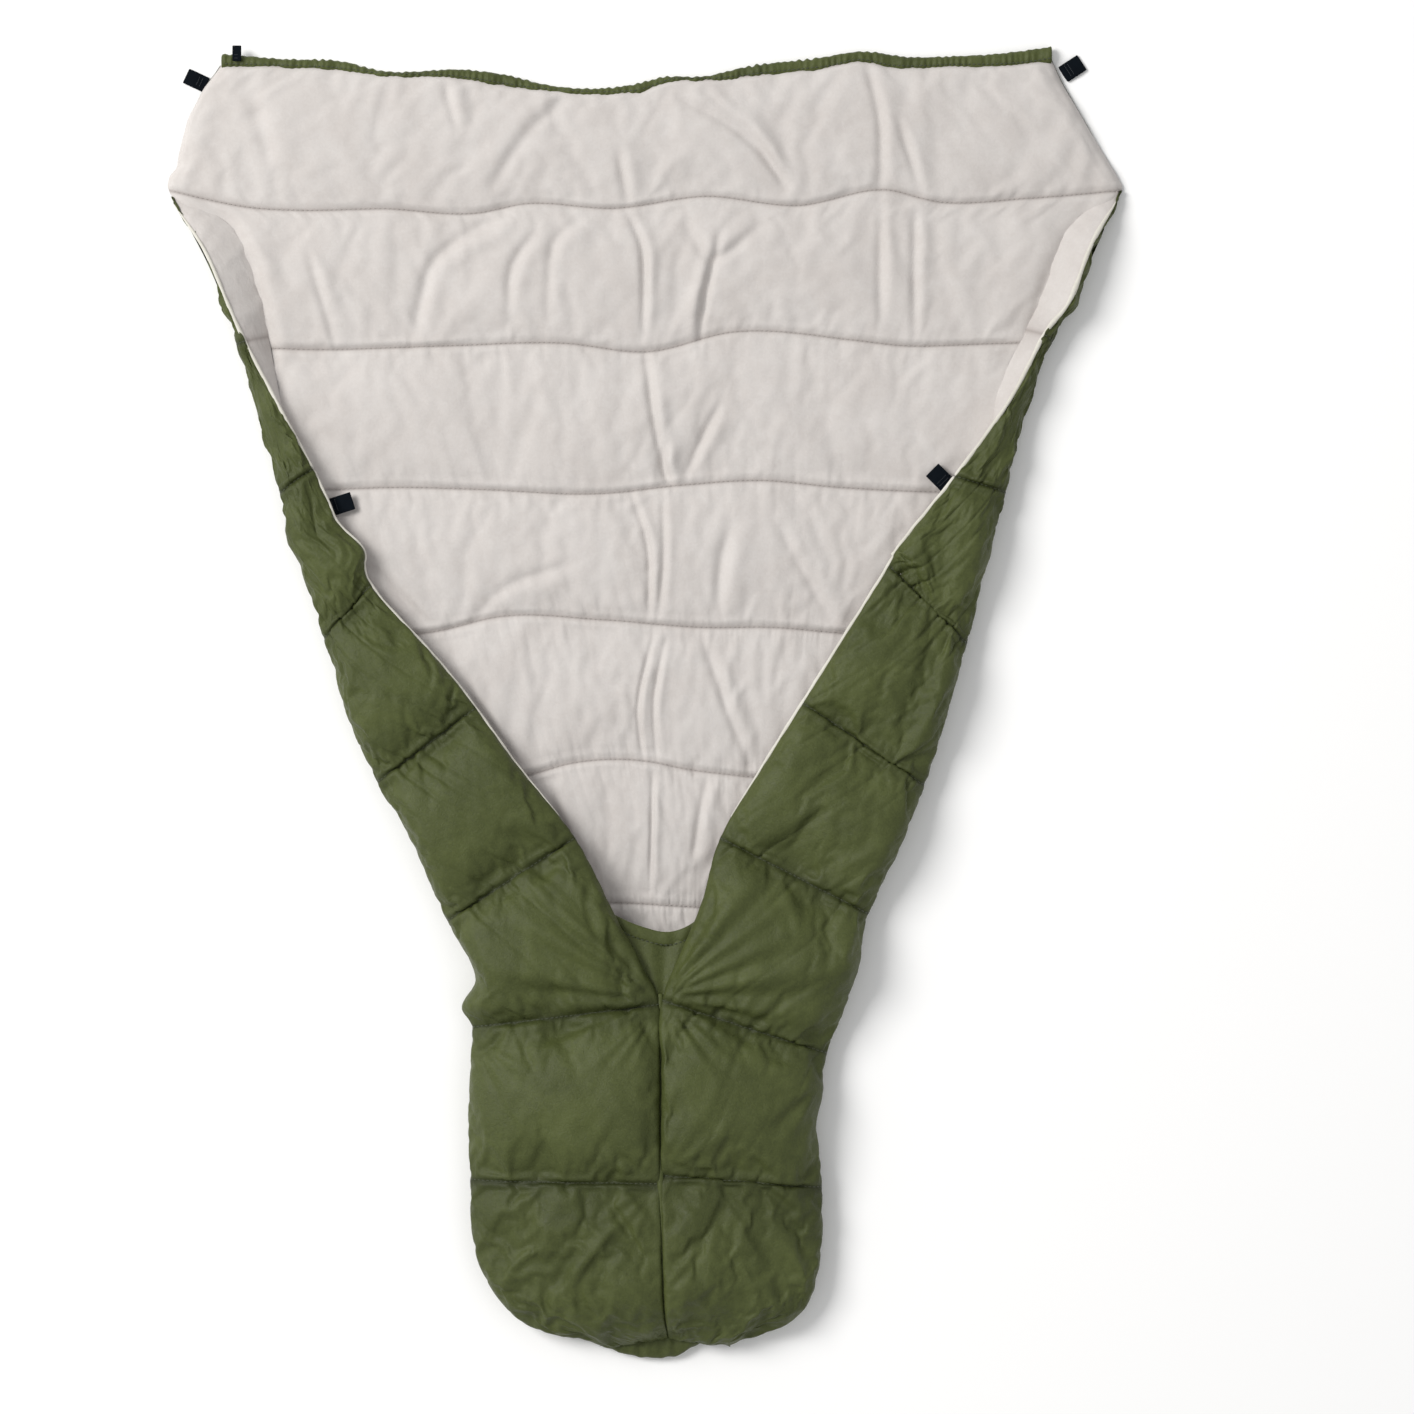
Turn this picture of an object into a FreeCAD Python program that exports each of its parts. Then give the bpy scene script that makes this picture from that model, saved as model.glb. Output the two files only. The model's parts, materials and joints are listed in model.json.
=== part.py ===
# Camp quilt, laid out on its back: lining up, both sides folded in and sewn together into a foot box.
# Millimetres.  +X goes across the quilt, +Y towards its head end and +Z up.  The origin is on the
# ground, in the middle of the quilt's plan.
import FreeCAD, Part

import math
import os

Vec = FreeCAD.Vector

# ---- driving dimensions ------------------------------------------------------------------------
LOFT = 28.0  # one quilted layer: skin, wadding, skin
SKIN = 1.0  # thickness given to a fabric skin
GAP = 0.3  # clearance between neighbouring pieces
CENTRE_X = 22.0  # the foot box's centre seam
SEAM_PITCH = 203.5  # distance between the cross seams
FIRST_SEAM_Y = 719.0
CHAMBERS = 9
HEM_DEPTH = 20.0
HEM_HEIGHT = 18.0

# Side folds.  Each flap turns about a straight line inside its fold.
FOLD_R = 34.0  # outside radius of the fold, and the height of its axis
CORE_R = 24.0  # the part of the roll that stays on the back panel
CORE_FOOT = (-6.0, 24.0)  # where the core stands on the back shell, across the fold
FLAP_START = {"left": 160.0, "right": 70.0}  # along the fold from its head end
FLAP_END = 745.0
FLAP_SEAMS = (330.0, 540.0)
FLAP_EDGE_TOP = 16.0  # top of the flap's free edge, above the fold axis
EDGE_ROLL = 4.0  # the lining's turned edge along the flap
CORNER_R = 11.0  # roll of the side edge at the head corners

# Foot box.
SEAM_D_Y = -440.0
SEAM_E_Y = -699.0
FOOT_HEIGHT = 98.0
WALL = 28.0
FOOT_END_Y = -880.0  # inside face of the foot box's end wall
FOOT_HEM_Y = -925.0
FOOT_HEM_HEIGHT = 14.0
FOOT_HEM_X = (-90.0, 100.0)
WALL_X = {"left": -252.0, "right": 257.0}  # outside of the foot box's side walls
TAPE_WIDTH = 12.0  # over the centre seam
MOUTH_Y = -318.0  # the gusset's top edge, at the foot end of the opening
MOUTH_X = (-30.0, 64.0)
MOUTH_Z = 46.0
GUSSET_HEM = 14.0

# Cutting blocks reach this far past everything.
WIDE, DEEP, TALL = 720.0, 960.0, 200.0

# Webbing loops: folded tape, sewn in by its two ends.
WEB_WIDTH = 26.0
WEB_LENGTH = 28.0
WEB_THICK = 1.3
WEB_SLIT = 1.4
HEM_WEB_WIDTH = 13.0
HEM_WEB_LENGTH = 22.0

# Plan outlines, as (x, y).  ARC marks a round stretch: the point on it and its end follow.
ARC = "arc"
HEAD_EDGE = [(592, 948), (497, 938), (315, 941), (92, 918), (-15, 897), (-165, 899), (-244, 914),
             (-384, 914), (-436, 927), (-616, 940)]
LEFT_SIDE = [(-616, 940), (-640, 896), (-694, 757), (-690, 722), (-642, 649), (-590, 513), (-566, 418),
             (-528, 304), (-491, 162), (-450, 39), (-394, -95), (-344, -193), (-293, -294), (-253, -398),
             (-260, -440), (-252, -503), (-252, -770), ARC, (-205, -872), (-110, -925), (22, -950)]
RIGHT_SIDE = [(22, -950), (128, -933), ARC, (219, -888), (257, -800), (256, -631), (262, -540),
              (277, -473), (308, -388), (325, -309), (354, -248), (409, -114), (469, 88), (522, 308),
              (556, 427), (593, 529), (657, 652), (694, 741), (688, 768), (613, 898), (592, 948)]

# The flaps' free edges, head end first.
LEFT_VEE = [(-557, 476), (-505, 362), (-441, 257), (-394, 172), (-308, 75), (-187, -87), (-116, -173),
            (-61, -268), (22, -440)]
RIGHT_VEE = [(556, 476), (471, 358), (412, 283), (358, 209), (249, 29), (175, -87), (106, -206),
             (80, -300), (22, -440)]


class Fold:
    """A side fold's frame: s runs along its axis from the head end, u across it towards the middle."""

    def __init__(self, head, foot, vee):
        self.head = Vec(head[0], head[1], FOLD_R)
        self.along = (Vec(foot[0], foot[1], FOLD_R) - self.head).normalize()
        across = Vec(0, 0, 1).cross(self.along)
        self.across = across if across.x * head[0] < 0 else across * -1
        self.length = (Vec(foot[0], foot[1], FOLD_R) - self.head).Length
        self.vee = [self.plan(x, y) for x, y in vee]

    def plan(self, x, y):
        """The plan point (x, y) as (s, u)."""
        offset = Vec(x, y, FOLD_R) - self.head
        return offset.dot(self.along), offset.dot(self.across)

    def at(self, s, u, w):
        """The point s along the axis, u inwards from it and w above it."""
        return self.head + self.along * s + self.across * u + Vec(0, 0, w)

    def reach(self, s):
        """How far inwards the flap's free edge is from the axis, s along it."""
        for (s0, u0), (s1, u1) in zip(self.vee, self.vee[1:]):
            if s0 <= s <= s1:
                return u0 + (u1 - u0) * (s - s0) / (s1 - s0)
        raise ValueError("the flap has no free edge there")


FOLDS = {
    "left": Fold((-545, 428), (-228, -432), LEFT_VEE),
    "right": Fold((535, 433), (268, -438), RIGHT_VEE),
}


# ---- building blocks ---------------------------------------------------------------------------
def outline_wire(points, z):
    """A closed wire through plan points at height z, with its marked stretches as arcs."""
    edges = []
    i = 1
    start = points[0]
    while i < len(points):
        if points[i] == ARC:
            a, b, c = start, points[i + 1], points[i + 2]
            edges.append(Part.Arc(Vec(*a, z), Vec(*b, z), Vec(*c, z)).toShape())
            i += 2
        else:
            edges.append(Part.makeLine(Vec(*start, z), Vec(*points[i], z)))
        start = points[i]
        i += 1
    if start != points[0]:
        edges.append(Part.makeLine(Vec(*start, z), Vec(*points[0], z)))
    return Part.Wire(edges)


def slab(points, low, high):
    """A plan outline given thickness from height low to height high."""
    return Part.Face(outline_wire(points, low)).extrude(Vec(0, 0, high - low))


def box(x0, x1, y0, y1, z0, z1):
    return Part.makeBox(x1 - x0, y1 - y0, z1 - z0, Vec(x0, y0, z0))


def loft(*sections):
    """A solid with flat or ruled sides between polygons with equal numbers of points."""
    wires = [Part.makePolygon([*points, points[0]]) for points in sections]
    return Part.makeLoft(wires, True, True)


def fold_prism(fold, polygon, s0, s1):
    """A polygon of (u, w) points carried along the fold from s0 to s1."""
    face = Part.Face(Part.makePolygon([fold.at(s0, u, w) for u, w in [*polygon, polygon[0]]]))
    return face.extrude(fold.along * (s1 - s0))


def one_solid(shape):
    """The shape's only solid."""
    if len(shape.Solids) != 1:
        raise ValueError(f"{len(shape.Solids)} solids where one was meant")
    return shape.Solids[0]


# ---- back panel --------------------------------------------------------------------------------
SILHOUETTE = [*LEFT_SIDE[:-1], *RIGHT_SIDE, *HEAD_EDGE[1:-1]]


def seam_y(number):
    return FIRST_SEAM_Y - SEAM_PITCH * (number - 1)


def side_bed(side):
    """The strip along a side that the fold or the rolled edge takes up, over the back shell."""
    fold = FOLDS[side]
    inner = CORE_R + 2 * GAP
    far = 150.0
    head = fold.at(-4.0, inner, 0)
    foot = fold.at(FLAP_END, inner, 0)
    outer_head = fold.at(-4.0, -far, 0)
    outer_foot = fold.at(FLAP_END, -far, 0)
    return slab([(p.x, p.y) for p in (head, foot, outer_foot, outer_head)], SKIN, 2 * FOLD_R)


def corner_roll(side, extra=0.0):
    """The tapering rolled edge between the head corner and the head end of the fold."""
    fold = FOLDS[side]
    end = fold.at(-5.0, 0, 0)
    sign = -1 if side == "left" else 1
    start = Vec(sign * (694 - CORNER_R - 2), 738, CORNER_R + SKIN + GAP)
    axis = end - start
    return Part.makeCone(CORNER_R + extra, CORE_R + extra, axis.Length, start, axis)


def hem_outline(depth):
    """The head edge and the same line depth nearer the foot."""
    lower = [(x, y - depth) for x, y in reversed(HEAD_EDGE)]
    return [*HEAD_EDGE, *lower]


def back_panel():
    nodes = {"back_shell": one_solid(slab(SILHOUETTE, 0, SKIN))}
    body = slab(SILHOUETTE, SKIN + GAP, LOFT)
    hem_clear = slab(hem_outline(HEM_DEPTH + GAP), 0, LOFT + 1)
    foot_clear = box(-WIDE, WIDE, -DEEP, FOOT_HEM_Y, 0, LOFT + 1)
    body = body.cut(hem_clear).cut(foot_clear)
    for side in FOLDS:
        body = body.cut(side_bed(side)).cut(corner_roll(side, 2 * GAP))
    for number in range(1, CHAMBERS + 1):
        top = DEEP if number == 1 else seam_y(number - 1) - GAP / 2
        bottom = -DEEP if number == CHAMBERS else seam_y(number) + GAP / 2
        band = box(-WIDE, WIDE, bottom, top, SKIN + GAP, LOFT - SKIN - GAP)
        nodes[f"back_fill_{number}"] = largest(body.common(band))
    cover = box(-WIDE, WIDE, -DEEP, DEEP, LOFT - SKIN, LOFT)
    nodes["back_lining"] = largest(body.common(cover))
    nodes["head_hem"] = one_solid(slab(hem_outline(HEM_DEPTH), SKIN + GAP, HEM_HEIGHT))
    return nodes


def largest(shape):
    """The biggest solid of a cut, without the crumbs that the cut may leave beyond the roll."""
    return max(shape.Solids, key=lambda solid: solid.Volume)


# ---- side folds and flaps ----------------------------------------------------------------------
def fold_core(side):
    """The inside of the fold, which stays with the back panel while the flap turns round it."""
    fold = FOLDS[side]
    start, end = 0.0, FLAP_END - GAP
    length = end - start
    roll = Part.makeCylinder(CORE_R, length, fold.at(start, 0, 0), fold.along)
    u0, u1 = CORE_FOOT
    low = SKIN + GAP - FOLD_R
    foot = fold_prism(fold, [(u0, low), (u1, low), (u1, 0), (u0, 0)], start, end)
    return one_solid(roll.fuse(foot).removeSplitter())


def fold_cover(side):
    """The upper outer quarter of the fold, which turns with the flap."""
    return one_solid(quarter_ring(side, CORE_R + 2 * GAP, FOLD_R - SKIN))


def quarter_ring(side, inner, outer):
    """A quarter ring about the fold's axis, above it and outwards of it, along the flap."""
    fold = FOLDS[side]
    length = FLAP_END - FLAP_START[side]
    start = fold.at(FLAP_START[side], 0, 0)
    up, out = Vec(0, 0, 1), fold.across * -1
    slant = (up + out).normalize()
    edges = [
        Part.Arc(start + up * outer, start + slant * outer, start + out * outer).toShape(),
        Part.makeLine(start + out * outer, start + out * inner),
        Part.Arc(start + out * inner, start + slant * inner, start + up * inner).toShape(),
        Part.makeLine(start + up * inner, start + up * outer),
    ]
    return Part.Face(Part.Wire(edges)).extrude(fold.along * length)


def flap_section(fold, s, part):
    """One cross section of a flap layer, as points: the wadding or one of its skins."""
    reach = fold.reach(s) - EDGE_ROLL
    clear = CORE_R + 2 * GAP
    corner = clear * math.tan(math.radians(22.5))
    top = [(0, FOLD_R), (20, FOLD_R - 2), (reach, FLAP_EDGE_TOP)]
    floor = LOFT - FOLD_R + 2 * GAP
    if part == "shell":
        points = [*top, *[(u, w - SKIN + GAP) for u, w in reversed(top)]]
    elif part == "lining":
        low, high = floor, floor + SKIN - GAP
        points = [(clear, low), (reach, low), (reach, high), (clear, high)]
    else:
        low = floor + SKIN
        over = [(u, w - SKIN) for u, w in top]
        points = [*over, (reach, low), (clear, low), (clear, corner), (corner, clear), (0, clear)]
    return [fold.at(s, u, w) for u, w in points]


def edge_section(fold, s):
    """The lining's turned edge, standing at the flap's free edge."""
    reach = fold.reach(s)
    inner = reach - EDGE_ROLL + GAP
    low = LOFT - FOLD_R + 2 * GAP
    high = FLAP_EDGE_TOP - GAP
    return [fold.at(s, u, w) for u, w in ((inner, low), (reach, low), (reach, high), (inner, high))]


def flap(side):
    """Everything that turns with one flap, except its webbing loop."""
    fold = FOLDS[side]
    stations = [FLAP_START[side], *FLAP_SEAMS, FLAP_END]
    nodes = {f"flap_fold_fill_{side}": fold_cover(side)}
    for number, (s0, s1) in enumerate(zip(stations, stations[1:]), 1):
        ends = [flap_section(fold, s, "fill") for s in (s0, s1 - GAP)]
        nodes[f"flap_fill_{side}_{number}"] = loft(*ends)
    for layer in ("shell", "lining"):
        spans = []
        for s0, s1 in zip(stations, stations[1:]):
            spans.append(loft(flap_section(fold, s0, layer), flap_section(fold, s1, layer)))
        skin = spans[0].fuse(spans[1:])
        if layer == "shell":
            skin = skin.fuse(quarter_ring(side, FOLD_R - SKIN + GAP, FOLD_R))
        nodes[f"flap_{layer}_{side}"] = one_solid(skin)
    edges = [loft(edge_section(fold, s0), edge_section(fold, s1)) for s0, s1 in zip(stations, stations[1:])]
    nodes[f"flap_edge_{side}"] = one_solid(edges[0].fuse(edges[1:]))
    return nodes


# ---- foot box ----------------------------------------------------------------------------------
def gore_section(side, z_shift, head_end):
    """An end of the gore between flap and foot box: its wadding, or its skin lying on that."""
    fold = FOLDS[side]
    lift = z_shift
    if head_end:
        s = FLAP_END + 1.5
        reach = fold.reach(s)
        over = [(-33, 8), (-23, 24), (0, FOLD_R - SKIN), (reach, FLAP_EDGE_TOP)]
        return [fold.at(s, u, w + lift) for u, w in over]
    sign = -1 if side == "left" else 1
    outer = -258 if side == "left" else 280
    middle = CENTRE_X + sign * GAP
    top = FOOT_HEIGHT - SKIN
    over = [(outer, 74), (outer - sign * 14, 91), (outer - sign * 45, top), (middle, top)]
    return [Vec(x, SEAM_D_Y, z + lift) for x, z in over]


def gore(side):
    """The quilted panel that joins a flap's foot end to the foot box."""
    fold = FOLDS[side]
    nodes = {}
    head, foot = gore_section(side, 0, True), gore_section(side, 0, False)
    s = FLAP_END + 1.5
    bottom_w = LOFT - FOLD_R + GAP
    head_low = [fold.at(s, fold.reach(s), bottom_w), fold.at(s, -33, bottom_w)]
    foot_low = [Vec(foot[3].x, SEAM_D_Y, FOOT_HEIGHT - LOFT), Vec(foot[0].x, SEAM_D_Y, LOFT + GAP)]
    nodes[f"gore_fill_{side}"] = loft([*head, *head_low], [*foot, *foot_low])
    skin = []
    for end in (True, False):
        low, high = gore_section(side, GAP, end), gore_section(side, SKIN, end)
        skin.append([*low, *reversed(high)])
    nodes[f"gore_shell_{side}"] = loft(*skin)
    return nodes


def foot_box():
    """The upper half of the foot box, its walls and the pieces at its mouth and end."""
    foot_part = box(-WIDE, WIDE, FOOT_HEM_Y, SEAM_D_Y, -1, TALL)
    outline = slab(SILHOUETTE, 0, FOOT_HEIGHT).common(foot_part)
    base = [face for face in outline.Faces if face.BoundBox.ZMax < 0.01][0]
    inset = base.makeOffset2D(-SKIN - GAP)
    inner = inset.extrude(Vec(0, 0, FOOT_HEIGHT))
    roof = FOOT_HEIGHT - LOFT
    halves = {
        "left": box(-WIDE, CENTRE_X - GAP, -DEEP, SEAM_D_Y - GAP, -1, TALL),
        "right": box(CENTRE_X + GAP, WIDE, -DEEP, SEAM_D_Y - GAP, -1, TALL),
    }
    nodes = {}
    for side, half in halves.items():
        hollow = inner.common(box(-WIDE, WIDE, -DEEP, 0, -1, FOOT_HEIGHT - SKIN))
        skin = outline.cut(hollow).common(half).common(box(-WIDE, WIDE, -DEEP, 0, LOFT + GAP, TALL))
        nodes[f"foot_shell_{side}"] = largest(skin)
        spans = ((SEAM_D_Y - GAP, SEAM_E_Y + GAP), (SEAM_E_Y, -DEEP))
        for number, (y1, y0) in enumerate(spans, 1):
            band = box(-WIDE, WIDE, y0, y1, roof + SKIN + GAP, FOOT_HEIGHT - SKIN - GAP)
            nodes[f"foot_top_fill_{side}_{number}"] = largest(inner.common(half).common(band))
        cover = box(-WIDE, WIDE, -DEEP, 0, roof, roof + SKIN)
        nodes[f"foot_lining_{side}"] = largest(inner.common(half).common(cover))
    low, high = LOFT + GAP, roof - GAP
    sides = {
        "left": box(-WIDE, WALL_X["left"] + WALL, FOOT_END_Y + GAP, SEAM_D_Y - GAP, low, high),
        "right": box(WALL_X["right"] - WALL, WIDE, FOOT_END_Y + GAP, SEAM_D_Y - GAP, low, high),
    }
    for side, strip in sides.items():
        nodes[f"foot_side_fill_{side}"] = largest(inner.common(strip))
    end = box(-WIDE, WIDE, -DEEP, FOOT_END_Y, low, high)
    nodes["foot_end_fill"] = largest(inner.common(end))
    half_tape = TAPE_WIDTH / 2
    nodes["centre_seam_tape"] = box(
        CENTRE_X - half_tape, CENTRE_X + half_tape, FOOT_END_Y + GAP, SEAM_D_Y - half_tape,
        roof - GAP - SKIN, roof - GAP)
    hem_end = box(*FOOT_HEM_X, -DEEP, FOOT_HEM_Y - GAP, 0, TALL)
    hem = slab(SILHOUETTE, SKIN + GAP, FOOT_HEM_HEIGHT).common(hem_end)
    nodes["foot_end_hem"] = largest(hem)
    return nodes


def mouth_gusset():
    """The small triangle sewn across the bottom of the vee, and the turned hem along its top."""
    tip = Vec(CENTRE_X, SEAM_D_Y + 16, 84)
    left, right = (Vec(x, MOUTH_Y, MOUTH_Z) for x in MOUTH_X)
    normal = (right - left).cross(tip - left).normalize()
    if normal.z < 0:
        normal = normal * -1
    panel = Part.Face(Part.makePolygon([tip, left, right, tip])).extrude(normal * SKIN)
    low = normal * (SKIN + GAP)
    drop = (tip - (left + right) * 0.5).normalize() * GUSSET_HEM
    slope = 0.86
    middle = (left + right) * 0.5
    ends = [middle + (left - middle) * slope, middle + (right - middle) * slope]
    strip = [ends[0] + low, ends[1] + low, ends[1] + low + drop, ends[0] + low + drop]
    inward = (middle - ends[0]).normalize() * 8
    strip[3] = strip[3] + inward
    strip[2] = strip[2] - inward
    hem = Part.Face(Part.makePolygon([*strip, strip[0]])).extrude(normal * SKIN)
    return {"vee_gusset": panel, "gusset_hem": hem}


# ---- webbing loops -----------------------------------------------------------------------------
def web_loop(root, direction, width, length):
    """A flattened loop of tape that leaves its seam at root, level, in the plan direction given."""
    outer_r = WEB_THICK + WEB_SLIT / 2
    inner_r = WEB_SLIT / 2
    run = length - outer_r
    profile = [
        Part.makeLine(Vec(0, 0, -outer_r), Vec(run, 0, -outer_r)),
        Part.Arc(Vec(run, 0, -outer_r), Vec(run + outer_r, 0, 0), Vec(run, 0, outer_r)).toShape(),
        Part.makeLine(Vec(run, 0, outer_r), Vec(0, 0, outer_r)),
        Part.makeLine(Vec(0, 0, outer_r), Vec(0, 0, inner_r)),
        Part.makeLine(Vec(0, 0, inner_r), Vec(run, 0, inner_r)),
        Part.Arc(Vec(run, 0, inner_r), Vec(run + inner_r, 0, 0), Vec(run, 0, -inner_r)).toShape(),
        Part.makeLine(Vec(run, 0, -inner_r), Vec(0, 0, -inner_r)),
        Part.makeLine(Vec(0, 0, -inner_r), Vec(0, 0, -outer_r)),
    ]
    loop = Part.Face(Part.Wire(profile)).extrude(Vec(0, width, 0))
    loop.translate(Vec(0, -width / 2, 0))
    loop.rotate(Vec(0, 0, 0), Vec(0, 0, 1), direction)
    loop.translate(root)
    return loop


WEB_Z = WEB_THICK + WEB_SLIT / 2
WEB_LOOPS = {
    # node: (root, plan direction in degrees, width, length)
    "head_tab_left": (Vec(-642, 897, WEB_Z + SKIN), 155, 23, WEB_LENGTH),
    "head_tab_right": (Vec(612, 913, WEB_Z + SKIN), 33, WEB_WIDTH, WEB_LENGTH),
    "side_tab_left": (Vec(-450.2, 281, LOFT + WEB_Z + GAP), 18, WEB_WIDTH, WEB_LENGTH),
    "side_tab_right": (Vec(435, 315, LOFT + WEB_Z + GAP), 135, WEB_WIDTH, WEB_LENGTH),
    "hem_loop": (Vec(-591, 950 - HEM_WEB_LENGTH, HEM_HEIGHT + WEB_Z + GAP), 90, HEM_WEB_WIDTH,
                 HEM_WEB_LENGTH),
}


# ---- assembly ----------------------------------------------------------------------------------
def build():
    nodes = back_panel()
    for side in FOLDS:
        nodes[f"fold_core_{side}"] = fold_core(side)
        nodes[f"upper_edge_fill_{side}"] = corner_roll(side)
        nodes.update(flap(side))
        nodes.update(gore(side))
    nodes.update(foot_box())
    nodes.update(mouth_gusset())
    for node, (root, direction, width, length) in WEB_LOOPS.items():
        nodes[node] = web_loop(root, direction, width, length)
    return nodes


if __name__ == "__main__":
    os.makedirs("parts", exist_ok=True)
    for node, shape in build().items():
        if not shape.isValid() or shape.Volume <= 0:
            raise ValueError(f"{node} isn't a sound solid")
        shape.exportStep(f"parts/{node}.step")
        bound = shape.BoundBox
        print(f"{node:24s} {len(shape.Solids)} solid, {shape.Volume / 1000:10.1f} cm3,"
              f" x {bound.XMin:7.1f} {bound.XMax:7.1f}, y {bound.YMin:7.1f} {bound.YMax:7.1f},"
              f" z {bound.ZMin:5.1f} {bound.ZMax:5.1f}")
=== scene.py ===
"""Looks of a camp quilt around its CAD frame: shell, lining, side flaps, foot box, hems and webbing loops."""

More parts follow.
